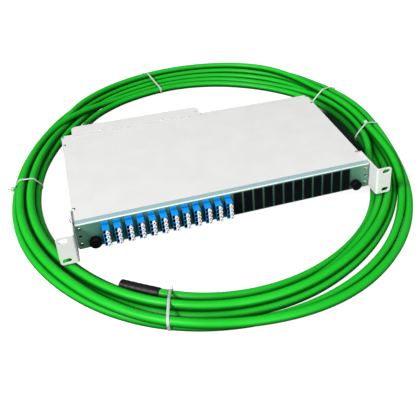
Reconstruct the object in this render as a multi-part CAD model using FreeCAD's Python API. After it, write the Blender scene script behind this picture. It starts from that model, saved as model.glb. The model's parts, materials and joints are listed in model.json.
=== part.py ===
import FreeCAD, Part
import math
import os

from FreeCAD import Vector

# Rack optical distribution frame with a sliding tray and a coiled trunk cable, in millimetres.
# X runs to the right, Y to the rear and Z up. The origin is on the front face of the rack ears,
# midway between their four slots.

# Rack ears
EAR_FLANGE = 23.8
EAR_HEIGHT = 43.7
EAR_THICKNESS = 2.0
EAR_SIDE_LENGTH = 62.0
EAR_CORNER = 4.0
EAR_BEND = 1.0
SLOT_INSET = 8.75
SLOT_SPACING_Z = 31.75
SLOT_LENGTH = 12.0
SLOT_WIDTH = 6.8

# Chassis base and top cover
BODY_WIDTH = 435.0
BODY_BOTTOM = -21.5
BODY_REAR = 286.0
COVER_TOP = 19.2
SHEET = 1.2
SHEET_BEND = 0.8
SIDE_FLANGE = 14.0
REAR_FLANGE = 10.0
REAR_NOTCH = 4.3
COVER_EDGE = 0.3
COVER_GAP = 0.5

# Screws and rivets
SCREW_CLEARANCE = 0.2
SCREW_END = 0.8
EAR_SCREW_SETBACK = 46.0
EAR_SCREW_SPACING = 27.0
EAR_SCREW_RADIUS = 1.8
EAR_SCREW_HEAD_RADIUS = 3.4
EAR_SCREW_HEAD_HEIGHT = 1.8
COVER_SCREW_INSET = 3.9
COVER_SCREW_FRONT = 64.0
COVER_SCREW_REAR = 251.0
COVER_SCREW_RADIUS = 1.2
COVER_SCREW_HEAD_RADIUS = 2.3
COVER_SCREW_HEAD_HEIGHT = 1.0
RIVET_RADIUS = 1.6
RIVET_HEAD_RADIUS = 2.8
RIVET_HEAD_HEIGHT = 0.9
# Straight part of a domed head's height, and flat part of its radius
HEAD_RIM_SHARE = 0.33
HEAD_FLAT_SHARE = 0.7

# Front panel
PANEL_SETBACK = 25.0
PANEL_THICKNESS = 1.5
PANEL_BEND = 1.0
PANEL_TOP_DEPTH = 10.5
PANEL_SIDE_GAP = 1.5
PANEL_FOOT_GAP = 0.5
PANEL_RUN_GAP = 1.7

# Row of ports across the panel
PORT_COUNT = 24
ADAPTER_COUNT = 12
PORT_END_MARGIN = 39.825
PORT_ROW_Z = -1.2
CUTOUT_WIDTH = 9.6
CUTOUT_HEIGHT = 27.4
CUTOUT_CLEARANCE = 0.2

# Four-port adapters
ADAPTER_REACH = 13.7
ADAPTER_REAR_REACH = 12.0
ADAPTER_FLANGE_HEIGHT = 35.4
ADAPTER_FLANGE_THICKNESS = 2.0
SOCKETS_PER_ADAPTER = 4
SOCKET_PITCH = 6.25
SOCKET_HEIGHT = 4.8
SOCKET_WIDTH = 7.8
SOCKET_OFFSET = -0.1
SOCKET_DEPTH = 9.0
GUIDE_RIB_HEIGHT = 0.6
GUIDE_RIB_LENGTH = 3.0

# Dust caps and rear connectors
CAP_RADIUS = 2.9
CAP_LENGTH = 5.0
CAP_BORE_RADIUS = 1.1
CAP_BORE_DEPTH = 3.5
CAP_PLUG_RADIUS = 2.1
CAP_PLUG_LENGTH = 7.0
CAP_OFFSET = 1.4
CONNECTOR_HEIGHT = 4.3
CONNECTOR_WIDTH = 5.6
CONNECTOR_INSERTION = 8.0
CONNECTOR_LENGTH = 10.0
BOOT_LENGTH = 18.0
BOOT_TIP = 2.2

# Blank plugs
BLANK_WIDTH = 12.5
BLANK_HEIGHT = 35.6
BLANK_THICKNESS = 1.6
BLANK_EDGE = 0.5
BLANK_PLUG_DEPTH = 8.0
BLANK_WALL = 1.2

# Anchor nuts behind the panel ends
ANCHOR_INSET = 4.5
ANCHOR_Z = -1.0
ANCHOR_RIVET_SPACING = 25.0
ANCHOR_HOLE_RADIUS = 2.1
ANCHOR_NUT_RADIUS = 3.6
ANCHOR_NUT_LENGTH = 4.0
ANCHOR_PLATE = 1.0
ANCHOR_PLATE_WIDTH = 7.4
ANCHOR_PLATE_MARGIN = 3.6

# Push-pull latch knobs
KNOB_FROM_ROW = 15.8
KNOB_Z = -11.0
KNOB_RADIUS = 8.0
KNOB_HEAD = 5.6
KNOB_EDGE = 1.2
KNOB_GRIPS = 16
KNOB_GRIP_RADIUS = 0.8
KNOB_PIN_RADIUS = 1.8
KNOB_RUNNING = 0.3
GROMMET_COLLAR_RADIUS = 7.0
GROMMET_COLLAR = 4.1
GROMMET_SLEEVE_RADIUS = 3.2
GROMMET_SLEEVE_END = 3.5
GROMMET_CLEARANCE = 0.2

# Latch tabs at the front of the chassis floor
TAB_WIDTH = 19.0
TAB_RISE = 18.5
TAB_CLEARANCE = 0.4

# Sliding tray and its rails
TRAY_REAR = 222.0
TRAY_WALL_FRONT = 85.0
TRAY_LIFT = 1.8
TRAY_LIP = 3.0
TRAY_WALL_TOP = 3.2
TRAY_SIDE_LIP = 11.0
TRAY_SIDE_MARGIN = 36.5
TRAY_LIP_BEND = 0.2
RAIL_SHEET = 1.0
RAIL_BEND = 0.5
RAIL_CLEARANCE = 0.3
RAIL_DEPTH = 8.0
RAIL_HEIGHT = 14.0
RAIL_Z = -3.0
RAIL_FRONT = 36.0
GUIDE_FRONT = 33.0
GUIDE_REAR = 226.0
GUIDE_LIP_GAP = 2.0

# Fibre spools on the tray
SPOOL_X = 85.0
SPOOL_Y = 155.0
SPOOL_RADIUS = 32.0
SPOOL_WALL = 2.0
SPOOL_HEIGHT = 20.0
SPOOL_RIM = 9.0

# Rear cable plate
PLATE_INSET = 17.5
PLATE_WIDTH = 216.0
PLATE_OVERLAP = 9.0
PLATE_DEPTH = 32.0
PLATE_THICKNESS = 1.5
PLATE_CORNER = 10.0
PLATE_HOLE_RADIUS = 2.25
PLATE_HOLE_INSET_X = 5.5
PLATE_HOLE_INSET_Y = 19.4
PLATE_RIVET_INSETS = (47.0, 148.0)
PLATE_RIVET_SETBACK = 4.5

# Cable, gland and fan-out block
CABLE_RADIUS = 6.3
GLAND_INSET = 37.5
GLAND_Z = -3.0
GLAND_BORE_CLEARANCE = 0.3
GLAND_THREAD_RADIUS = 10.0
GLAND_HOLE_CLEARANCE = 0.2
GLAND_HEX = 24.0
GLAND_HEX_LENGTH = 6.0
GLAND_SLEEVE_LENGTH = 8.0
LOCKNUT_LENGTH = 4.0
DOME_LENGTH = 12.0
DOME_MOUTH_RADIUS = 8.2
DOME_SHOULDER_RADIUS = 11.4
DOME_SHOULDER_LENGTH = 6.0
DOME_WAIST_RADIUS = 10.2
DOME_WAIST_LENGTH = 9.4
BLOCK_WIDTH = 22.0
BLOCK_FRONT = 234.0
BLOCK_REAR = 268.0
BLOCK_RISE = 9.0
BLOCK_SOCKET = 6.0
BLOCK_CORNER = 3.0

# Coil of cable, lying two strands deep below the ears
COIL_CENTRE_X = 18.0
COIL_CENTRE_Y = 228.0
COIL_SEAT_GAP = 0.6
COIL_LAYER_NESTING = 0.866
COIL_EDGE = 5.0
COIL_POINTS = 24
# Mean radius, then the cosine and sine amplitude of each harmonic, of the outermost strand
OUTER_STRAND = (351.4, (1.0, -10.0), (-40.0, 12.4), (-4.2, 2.8))
# The same for the innermost strand
INNER_STRAND = (301.8, (-8.8, -15.5), (-23.4, 8.0), (3.7, -0.2), (1.5, -0.5))
# Along the right side the last turn lies inside the others and brings the inner wall inward
LAP_ANGLE = -8.0
LAP_DEPTH = 26.0
LAP_SPREAD = 40.0
# The free end's sleeve lies in a shallow bay of the inner wall
SLEEVE_ANGLE = -119.5
SLEEVE_BAY_DEPTH = 6.0
SLEEVE_BAY_SPREAD = 20.0
SLEEVE_RADIUS = 7.4
SLEEVE_LENGTH = 58.0
SLEEVE_GAP = 0.3
SLEEVE_EDGE = 1.0

# Ties round the coil: the angle of each, and whether its head is on the coil's inner side
TIES = ((96.0, False), (30.0, False), (-6.0, False), (-113.0, True), (177.0, False))
TIE_WIDTH = 4.8
TIE_THICKNESS = 1.1
TIE_CLEARANCE = 0.05
TIE_CORNER = 1.0
TIE_HEAD = 6.4
TIE_HEAD_RISE = 4.0
TIE_HEAD_DROP = 2.0

# Cable from the fan-out block through the gland, down to the coil's inner wall: its turning
# points, from where the gland's axis leaves the rear wall
CABLE_TURNS = (
    (0.0, -24.0, 0.0),
    (0.0, 40.0, 0.0),
    (1.0, 94.0, -17.0),
    (8.0, 142.0, -33.0),
    (28.0, 178.0, -36.4),
)
# Part of the shorter leg at a turning point that its arc takes up
ARC_SHARE = 0.45

# Overshoot of cutting shapes, and tolerances in choosing edges
CUT_MARGIN = 1.0
EDGE_TOLERANCE = 0.001
PARALLEL_TOLERANCE = 1e-6

# Places that follow from the sizes above
half_body = BODY_WIDTH / 2
ear_tip = half_body + EAR_FLANGE
slot_x = ear_tip - SLOT_INSET
wall_inner = half_body - SHEET
floor_top = BODY_BOTTOM + SHEET
cover_under = COVER_TOP - SHEET
rear_inner = BODY_REAR - SHEET
rear_flange_front = BODY_REAR - REAR_FLANGE
panel_back = PANEL_SETBACK + PANEL_THICKNESS
panel_half = half_body - PANEL_SIDE_GAP
panel_bottom = BODY_BOTTOM + PANEL_FOOT_GAP
panel_top_rear = PANEL_SETBACK + PANEL_TOP_DEPTH
body_front = panel_back + PANEL_RUN_GAP
cover_front = panel_top_rear + COVER_GAP
cover_rear = rear_flange_front - COVER_GAP
cover_screw_x = half_body - COVER_SCREW_INSET
row_half = half_body - PORT_END_MARGIN
port_pitch = 2 * row_half / (PORT_COUNT - 1)
knob_x = row_half + KNOB_FROM_ROW
tab_top = BODY_BOTTOM + TAB_RISE
anchor_x = panel_half - ANCHOR_INSET
adapter_width = CUTOUT_WIDTH - 2 * CUTOUT_CLEARANCE
adapter_height = CUTOUT_HEIGHT - 2 * CUTOUT_CLEARANCE
adapter_front = PANEL_SETBACK - ADAPTER_REACH
adapter_rear = panel_back + ADAPTER_REAR_REACH
socket_rows = [
    PORT_ROW_Z + SOCKET_PITCH * (index - (SOCKETS_PER_ADAPTER - 1) / 2)
    for index in range(SOCKETS_PER_ADAPTER)
]
tray_floor_under = floor_top + TRAY_LIFT
tray_floor_top = tray_floor_under + SHEET
tray_wall_inner = half_body - TRAY_SIDE_MARGIN - SHEET
guide_web_inner = wall_inner - RAIL_SHEET
rail_tip = guide_web_inner - RAIL_CLEARANCE
rail_web_inner = rail_tip - RAIL_DEPTH
plate_left = PLATE_INSET - half_body
plate_right = plate_left + PLATE_WIDTH
plate_front = BODY_REAR - PLATE_OVERLAP
plate_rear = plate_front + PLATE_DEPTH
gland_x = GLAND_INSET - half_body
cable_points = [Vector(gland_x, BODY_REAR, GLAND_Z) + Vector(turn) for turn in CABLE_TURNS]
coil_top = -EAR_HEIGHT / 2 - COIL_SEAT_GAP
coil_bottom = coil_top - 2 * CABLE_RADIUS * (1 + COIL_LAYER_NESTING)
ground = coil_bottom - TIE_CLEARANCE - TIE_THICKNESS


def box(x_low, x_high, y_low, y_high, z_low, z_high):
    """Return a block between the given limits."""
    corner = Vector(x_low, y_low, z_low)
    return Part.makeBox(x_high - x_low, y_high - y_low, z_high - z_low, corner)


def rod(radius, start, end):
    """Return a round rod from one point to another."""
    axis = end - start
    return Part.makeCylinder(radius, axis.Length, start, axis)


def mirrored(shape):
    """Return the right-hand shape as its left-hand twin."""
    return shape.mirror(Vector(0, 0, 0), Vector(1, 0, 0))


def fuse_all(shapes):
    """Return the shapes joined into one, with the seams between flush faces removed."""
    return shapes[0].multiFuse(shapes[1:]).removeSplitter()


def rounded_wire(points, radii):
    """Return a closed wire through the points, with a tangent arc of its radius at each corner."""
    arcs = []
    for index, corner in enumerate(points):
        before = (points[index - 1] - corner).normalize()
        after = (points[(index + 1) % len(points)] - corner).normalize()
        half = before.getAngle(after) / 2
        reach = radii[index] / math.tan(half)
        sagitta = radii[index] / math.sin(half) - radii[index]
        middle = corner + (before + after).normalize() * sagitta
        arcs.append((corner + before * reach, middle, corner + after * reach))
    edges = []
    for index, (start, middle, end) in enumerate(arcs):
        if radii[index] > 0:
            edges.append(Part.Arc(start, middle, end).toShape())
        following = arcs[(index + 1) % len(arcs)][0]
        if (following - end).Length > EDGE_TOLERANCE:
            edges.append(Part.LineSegment(end, following).toShape())
    return Part.Wire(edges)


def rounded_block(x_low, x_high, z_low, z_high, radius, y_low, y_high):
    """Return a block whose four edges along Y are rounded."""
    corners = [
        Vector(x_low, y_low, z_low),
        Vector(x_high, y_low, z_low),
        Vector(x_high, y_low, z_high),
        Vector(x_low, y_low, z_high),
    ]
    return Part.Face(rounded_wire(corners, [radius] * 4)).extrude(Vector(0, y_high - y_low, 0))


def folded_sheet(path, thickness, bend, run):
    """Return a folded sheet: its section follows the path, with the metal on the path's left.

    The path is drawn in the plane square to the run vector, and each fold has the bend as its
    inside radius.
    """
    normal = Vector(run).normalize()
    legs = [(end - start).normalize() for start, end in zip(path, path[1:])]
    lefts = [normal.cross(leg) for leg in legs]
    offset = [path[0] + lefts[0] * thickness]
    path_radii = [0]
    offset_radii = [0]
    for corner, left, following, leg in zip(path[1:], lefts, lefts[1:], legs[1:]):
        offset.append(corner + (left + following) * (thickness / (1 + left.dot(following))))
        turns_left = left.dot(leg) > 0
        path_radii.append(bend + thickness if turns_left else bend)
        offset_radii.append(bend if turns_left else bend + thickness)
    offset.append(path[-1] + lefts[-1] * thickness)
    path_radii.append(0)
    offset_radii.append(0)
    outline = list(path) + offset[::-1]
    return Part.Face(rounded_wire(outline, path_radii + offset_radii[::-1])).extrude(run)


def round_edges(shape, radius, chosen):
    """Return the shape with a fillet on each edge whose centre passes the test."""
    edges = [edge for edge in shape.Edges if chosen(edge)]
    return shape.makeFillet(radius, edges)


def runs_along(edge, axis):
    """Say whether a straight edge runs along the axis."""
    if len(edge.Vertexes) != 2:
        return False
    span = edge.Vertexes[1].Point - edge.Vertexes[0].Point
    return span.Length > 0 and abs(abs(span.normalize().dot(axis)) - 1) < PARALLEL_TOLERANCE


def domed_pin(head_radius, head_height, pin_radius, pin_length, seat, outward):
    """Return a screw or rivet: a domed head on its seat, with a plain pin going inward."""
    profile = [
        (0, -pin_length),
        (pin_radius, -pin_length),
        (pin_radius, 0),
        (head_radius, 0),
        (head_radius, head_height * HEAD_RIM_SHARE),
        (head_radius * HEAD_FLAT_SHARE, head_height),
        (0, head_height),
    ]
    return turned(profile, seat, outward)


def turned(profile, centre, outward):
    """Return a round piece from its profile of (radius, distance along the outward axis) points."""
    points = [Vector(radius, 0, along) for radius, along in profile]
    wire = Part.makePolygon(points + points[:1])
    shape = Part.Face(wire).revolve(Vector(0, 0, 0), Vector(0, 0, 1), 360)
    shape.Placement = FreeCAD.Placement(centre, FreeCAD.Rotation(Vector(0, 0, 1), outward))
    return shape


def ear():
    """Return the right-hand ear: a bent plate with a slotted front flange and a side plate."""
    low = -EAR_HEIGHT / 2
    path = [
        Vector(ear_tip, 0, low),
        Vector(half_body, 0, low),
        Vector(half_body, EAR_SIDE_LENGTH, low),
    ]
    plate = folded_sheet(path[::-1], EAR_THICKNESS, EAR_BEND, Vector(0, 0, EAR_HEIGHT))
    along_x = Vector(1, 0, 0)
    along_y = Vector(0, 1, 0)
    ear_side_end = EAR_SIDE_LENGTH - EDGE_TOLERANCE
    plate = round_edges(
        plate,
        EAR_CORNER,
        lambda edge: (runs_along(edge, along_y) and edge.CenterOfMass.x > ear_tip - EDGE_TOLERANCE)
        or (runs_along(edge, along_x) and edge.CenterOfMass.y > ear_side_end),
    )
    cuts = []
    for side in (-1, 1):
        z = side * SLOT_SPACING_Z / 2
        cuts.append(
            rounded_block(
                slot_x - SLOT_LENGTH / 2,
                slot_x + SLOT_LENGTH / 2,
                z - SLOT_WIDTH / 2,
                z + SLOT_WIDTH / 2,
                SLOT_WIDTH / 2,
                -EAR_THICKNESS,
                2 * EAR_THICKNESS,
            )
        )
    cuts += ear_screw_holes()
    return plate.cut(cuts)


def ear_screw_places():
    """Return the seats of the right-hand ear's screws, on the ear's outer face."""
    return [
        Vector(half_body + EAR_THICKNESS, EAR_SCREW_SETBACK, side * EAR_SCREW_SPACING / 2)
        for side in (-1, 1)
    ]


def ear_screw_holes():
    """Return the rods that cut the ear screws' holes through ear and side wall."""
    reach = Vector(EAR_THICKNESS + SHEET + SCREW_END, 0, 0)
    radius = EAR_SCREW_RADIUS + SCREW_CLEARANCE
    margin = Vector(CUT_MARGIN, 0, 0)
    return [rod(radius, seat + margin, seat - reach) for seat in ear_screw_places()]


def ear_screws():
    """Return the screws that hold both ears to the chassis sides."""
    length = EAR_THICKNESS + SHEET + SCREW_END
    right = [
        domed_pin(
            EAR_SCREW_HEAD_RADIUS,
            EAR_SCREW_HEAD_HEIGHT,
            EAR_SCREW_RADIUS,
            length,
            seat,
            Vector(1, 0, 0),
        )
        for seat in ear_screw_places()
    ]
    return Part.makeCompound(right + [mirrored(screw) for screw in right])


def cover_screw_places():
    """Return the seats of the cover screws, on the cover's top face."""
    return [
        Vector(side * cover_screw_x, y, COVER_TOP)
        for side in (-1, 1)
        for y in (COVER_SCREW_FRONT, COVER_SCREW_REAR)
    ]


def cover_screw_holes():
    """Return the rods that cut the cover screws' holes through cover and side flange."""
    reach = Vector(0, 0, 2 * SHEET + SCREW_END)
    radius = COVER_SCREW_RADIUS + SCREW_CLEARANCE
    margin = Vector(0, 0, CUT_MARGIN)
    return [rod(radius, seat + margin, seat - reach) for seat in cover_screw_places()]


def cover_screws():
    """Return the four screws that hold the cover down."""
    length = 2 * SHEET + SCREW_END
    return Part.makeCompound([
        domed_pin(
            COVER_SCREW_HEAD_RADIUS,
            COVER_SCREW_HEAD_HEIGHT,
            COVER_SCREW_RADIUS,
            length,
            seat,
            Vector(0, 0, 1),
        )
        for seat in cover_screw_places()
    ])


def chassis_base():
    """Return the folded chassis: floor, side walls with top flanges, rear wall and latch tabs."""
    flange_tip = half_body - SIDE_FLANGE
    trough = folded_sheet(
        [
            Vector(-flange_tip, body_front, cover_under),
            Vector(-half_body, body_front, cover_under),
            Vector(-half_body, body_front, BODY_BOTTOM),
            Vector(half_body, body_front, BODY_BOTTOM),
            Vector(half_body, body_front, cover_under),
            Vector(flange_tip, body_front, cover_under),
        ][::-1],
        SHEET,
        SHEET_BEND,
        Vector(0, BODY_REAR - SHEET - SHEET_BEND - body_front, 0),
    )
    rear = folded_sheet(
        [
            Vector(-half_body, rear_flange_front, COVER_TOP),
            Vector(-half_body, BODY_REAR, COVER_TOP),
            Vector(-half_body, BODY_REAR, BODY_BOTTOM),
            Vector(-half_body, rear_flange_front, BODY_BOTTOM),
        ][::-1],
        SHEET,
        SHEET_BEND,
        Vector(BODY_WIDTH, 0, 0),
    )
    tabs = []
    holes = []
    for side in (-1, 1):
        tab_low = side * knob_x - TAB_WIDTH / 2
        tabs.append(
            folded_sheet(
                [
                    Vector(tab_low, body_front + TAB_WIDTH, BODY_BOTTOM),
                    Vector(tab_low, body_front, BODY_BOTTOM),
                    Vector(tab_low, body_front, tab_top),
                ][::-1],
                SHEET,
                SHEET_BEND,
                Vector(TAB_WIDTH, 0, 0),
            )
        )
        hole_radius = GROMMET_SLEEVE_RADIUS + TAB_CLEARANCE
        hole_start = Vector(side * knob_x, panel_back, KNOB_Z)
        holes.append(rod(hole_radius, hole_start, hole_start + Vector(0, TAB_WIDTH, 0)))
        flange_under = cover_under - SHEET - SHEET_BEND
        notch = box(
            half_body - REAR_NOTCH,
            half_body + CUT_MARGIN,
            cover_rear,
            BODY_REAR + CUT_MARGIN,
            flange_under,
            COVER_TOP + CUT_MARGIN,
        )
        relief = box(
            flange_tip - CUT_MARGIN,
            wall_inner,
            body_front - CUT_MARGIN,
            cover_front,
            flange_under,
            COVER_TOP + CUT_MARGIN,
        )
        for cut in (notch, relief) + tuple(ear_screw_holes()):
            holes.append(cut if side > 0 else mirrored(cut))
    holes += cover_screw_holes()
    holes += rear_rivet_holes()
    gland_hole = GLAND_THREAD_RADIUS + GLAND_HOLE_CLEARANCE
    holes.append(gland_ring(gland_hole, rear_inner - CUT_MARGIN, BODY_REAR + CUT_MARGIN))
    return fuse_all([trough, rear] + tabs).cut(holes)


def top_cover():
    """Return the flat cover sheet with its four screw holes."""
    half = half_body - COVER_EDGE
    sheet = box(-half, half, cover_front, cover_rear, cover_under, COVER_TOP)
    return sheet.cut(cover_screw_holes())


def rear_rivet_places():
    """Return the seats of the rivets on the rear cable plate."""
    seat_y = plate_front + PLATE_RIVET_SETBACK
    seat_z = COVER_TOP + PLATE_THICKNESS
    return [Vector(plate_left + inset, seat_y, seat_z) for inset in PLATE_RIVET_INSETS]


def rear_rivet_holes():
    """Return the rods that cut the rivets' holes through plate and rear flange."""
    reach = Vector(0, 0, PLATE_THICKNESS + SHEET + SCREW_END)
    radius = RIVET_RADIUS + SCREW_CLEARANCE
    margin = Vector(0, 0, CUT_MARGIN)
    return [rod(radius, seat + margin, seat - reach) for seat in rear_rivet_places()]


def rear_cable_plate():
    """Return the plate behind the cover that cables are tied to, with round corners and a hole."""
    corners = [
        Vector(plate_left, plate_front, COVER_TOP),
        Vector(plate_right, plate_front, COVER_TOP),
        Vector(plate_right, plate_rear, COVER_TOP),
        Vector(plate_left, plate_rear, COVER_TOP),
    ]
    outline = rounded_wire(corners, [0, 0, PLATE_CORNER, PLATE_CORNER])
    plate = Part.Face(outline).extrude(Vector(0, 0, PLATE_THICKNESS))
    hole_x = plate_right - PLATE_HOLE_INSET_X
    hole_y = plate_rear - PLATE_HOLE_INSET_Y
    hole_low = Vector(hole_x, hole_y, COVER_TOP - CUT_MARGIN)
    hole_high = Vector(hole_x, hole_y, COVER_TOP + PLATE_THICKNESS + CUT_MARGIN)
    hole = rod(PLATE_HOLE_RADIUS, hole_low, hole_high)
    return plate.cut([hole] + rear_rivet_holes())


def rear_plate_rivets():
    """Return the rivets that hold the rear cable plate on the rear flange."""
    length = PLATE_THICKNESS + SHEET + SCREW_END
    return Part.makeCompound([
        domed_pin(RIVET_HEAD_RADIUS, RIVET_HEAD_HEIGHT, RIVET_RADIUS, length, seat, Vector(0, 0, 1))
        for seat in rear_rivet_places()
    ])


def port_x(index):
    """Return the X of a port in the row, counted from the left."""
    return -row_half + index * port_pitch


def front_panel():
    """Return the folded panel with its row of cut-outs, latch holes and anchor holes."""
    panel = folded_sheet(
        [
            Vector(-panel_half, panel_top_rear, COVER_TOP),
            Vector(-panel_half, PANEL_SETBACK, COVER_TOP),
            Vector(-panel_half, PANEL_SETBACK, panel_bottom),
        ],
        PANEL_THICKNESS,
        PANEL_BEND,
        Vector(2 * panel_half, 0, 0),
    )
    before = PANEL_SETBACK - CUT_MARGIN
    behind = panel_back + CUT_MARGIN
    cuts = []
    for index in range(PORT_COUNT):
        x = port_x(index)
        cuts.append(
            box(
                x - CUTOUT_WIDTH / 2,
                x + CUTOUT_WIDTH / 2,
                before,
                behind,
                PORT_ROW_Z - CUTOUT_HEIGHT / 2,
                PORT_ROW_Z + CUTOUT_HEIGHT / 2,
            )
        )
    for side in (-1, 1):
        latch = Vector(side * knob_x, before, KNOB_Z)
        through = Vector(0, behind - before, 0)
        cuts.append(rod(GROMMET_SLEEVE_RADIUS + GROMMET_CLEARANCE, latch, latch + through))
        anchor = Vector(side * anchor_x, before, ANCHOR_Z)
        cuts.append(rod(ANCHOR_HOLE_RADIUS, anchor, anchor + through))
        for step in (-1, 1):
            rivet = anchor + Vector(0, 0, step * ANCHOR_RIVET_SPACING / 2)
            cuts.append(rod(RIVET_RADIUS + SCREW_CLEARANCE, rivet, rivet + through))
    return panel.cut(cuts)


def panel_rivets():
    """Return the rivets that hold the anchor nuts behind the panel ends."""
    length = PANEL_THICKNESS + ANCHOR_PLATE
    return Part.makeCompound([
        domed_pin(
            RIVET_HEAD_RADIUS,
            RIVET_HEAD_HEIGHT,
            RIVET_RADIUS,
            length,
            Vector(side * anchor_x, PANEL_SETBACK, ANCHOR_Z + step * ANCHOR_RIVET_SPACING / 2),
            Vector(0, -1, 0),
        )
        for side in (-1, 1)
        for step in (-1, 1)
    ])


def anchor_nuts():
    """Return the two plate nuts: a small riveted plate with a round threaded barrel."""
    nuts = []
    half_height = ANCHOR_RIVET_SPACING / 2 + ANCHOR_PLATE_MARGIN
    for side in (-1, 1):
        centre = Vector(side * anchor_x, panel_back, ANCHOR_Z)
        plate = rounded_block(
            centre.x - ANCHOR_PLATE_WIDTH / 2,
            centre.x + ANCHOR_PLATE_WIDTH / 2,
            ANCHOR_Z - half_height,
            ANCHOR_Z + half_height,
            ANCHOR_PLATE_WIDTH / 2,
            panel_back,
            panel_back + ANCHOR_PLATE,
        )
        length = Vector(0, ANCHOR_NUT_LENGTH, 0)
        nut = fuse_all([plate, rod(ANCHOR_NUT_RADIUS, centre, centre + length)])
        before = centre - Vector(0, CUT_MARGIN, 0)
        holes = [rod(ANCHOR_HOLE_RADIUS, before, before + length * 2)]
        for step in (-1, 1):
            rivet = before + Vector(0, 0, step * ANCHOR_RIVET_SPACING / 2)
            holes.append(rod(RIVET_RADIUS + SCREW_CLEARANCE, rivet, rivet + length * 2))
        nuts.append(nut.cut(holes))
    return Part.makeCompound(nuts)


def adapter(index):
    """Return one adapter: a body through the panel, a flange, and four sockets at each end."""
    x = port_x(index)
    low = PORT_ROW_Z - adapter_height / 2
    high = PORT_ROW_Z + adapter_height / 2
    body = box(x - adapter_width / 2, x + adapter_width / 2, adapter_front, adapter_rear, low, high)
    flange = box(
        x - adapter_width / 2,
        x + adapter_width / 2,
        PANEL_SETBACK - ADAPTER_FLANGE_THICKNESS,
        PANEL_SETBACK,
        PORT_ROW_Z - ADAPTER_FLANGE_HEIGHT / 2,
        PORT_ROW_Z + ADAPTER_FLANGE_HEIGHT / 2,
    )
    rib_middle = (adapter_front + PANEL_SETBACK - ADAPTER_FLANGE_THICKNESS) / 2
    rib = box(
        x - adapter_width / 2,
        x + adapter_width / 2,
        rib_middle,
        rib_middle + GUIDE_RIB_LENGTH,
        low,
        high + GUIDE_RIB_HEIGHT,
    )
    sockets = []
    for z in socket_rows:
        left = x + SOCKET_OFFSET - SOCKET_WIDTH / 2
        right = x + SOCKET_OFFSET + SOCKET_WIDTH / 2
        bottom = z - SOCKET_HEIGHT / 2
        top = z + SOCKET_HEIGHT / 2
        before = adapter_front - CUT_MARGIN
        behind = adapter_rear + CUT_MARGIN
        sockets.append(box(left, right, before, adapter_front + SOCKET_DEPTH, bottom, top))
        sockets.append(box(left, right, adapter_rear - SOCKET_DEPTH, behind, bottom, top))
    return fuse_all([body, flange, rib]).cut(sockets)


def dust_caps():
    """Return the caps on every front socket: a hollow round head and a plug that fills the socket."""
    profile = [
        (0, -CAP_PLUG_LENGTH),
        (CAP_PLUG_RADIUS, -CAP_PLUG_LENGTH),
        (CAP_PLUG_RADIUS, 0),
        (CAP_RADIUS, 0),
        (CAP_RADIUS, CAP_LENGTH),
        (CAP_BORE_RADIUS, CAP_LENGTH),
        (CAP_BORE_RADIUS, CAP_LENGTH - CAP_BORE_DEPTH),
        (0, CAP_LENGTH - CAP_BORE_DEPTH),
    ]
    return Part.makeCompound([
        turned(profile, Vector(port_x(index) + CAP_OFFSET, adapter_front, z), Vector(0, -1, 0))
        for index in range(ADAPTER_COUNT)
        for z in socket_rows
    ])


def rear_connectors():
    """Return the connectors in every rear socket: a square body and a tapered boot."""
    plugs = []
    front = adapter_rear - CONNECTOR_INSERTION
    back = adapter_rear + CONNECTOR_LENGTH
    for index in range(ADAPTER_COUNT):
        x = port_x(index) + SOCKET_OFFSET
        for z in socket_rows:
            body = box(
                x - CONNECTOR_WIDTH / 2,
                x + CONNECTOR_WIDTH / 2,
                front,
                back,
                z - CONNECTOR_HEIGHT / 2,
                z + CONNECTOR_HEIGHT / 2,
            )
            wide = CONNECTOR_HEIGHT - 2 * CUTOUT_CLEARANCE
            tip = square_wire(x, back + BOOT_LENGTH, z, BOOT_TIP)
            boot = Part.makeLoft([square_wire(x, back, z, wide), tip], True)
            plugs.append(body.fuse(boot))
    return Part.makeCompound(plugs)


def square_wire(x, y, z, size):
    """Return a square wire facing along Y, centred on the point."""
    half = size / 2
    points = [
        Vector(x - half, y, z - half),
        Vector(x + half, y, z - half),
        Vector(x + half, y, z + half),
        Vector(x - half, y, z + half),
    ]
    return Part.makePolygon(points + points[:1])


def blank_plug(index):
    """Return one blank: a bevelled cover plate with a hollow plug behind it."""
    x = port_x(index)
    low = PORT_ROW_Z - BLANK_HEIGHT / 2
    high = PORT_ROW_Z + BLANK_HEIGHT / 2
    front = PANEL_SETBACK - BLANK_THICKNESS
    plate = box(x - BLANK_WIDTH / 2, x + BLANK_WIDTH / 2, front, PANEL_SETBACK, low, high)
    front_edges = [edge for edge in plate.Edges if edge.CenterOfMass.y < front + EDGE_TOLERANCE]
    plate = plate.makeChamfer(BLANK_EDGE, front_edges)
    half_width = adapter_width / 2
    half_height = adapter_height / 2
    plug_rear = panel_back + BLANK_PLUG_DEPTH
    plug = box(
        x - half_width,
        x + half_width,
        PANEL_SETBACK,
        plug_rear,
        PORT_ROW_Z - half_height,
        PORT_ROW_Z + half_height,
    )
    hollow = box(
        x - half_width + BLANK_WALL,
        x + half_width - BLANK_WALL,
        PANEL_SETBACK,
        plug_rear + CUT_MARGIN,
        PORT_ROW_Z - half_height + BLANK_WALL,
        PORT_ROW_Z + half_height - BLANK_WALL,
    )
    return fuse_all([plate, plug.cut(hollow)])


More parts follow.
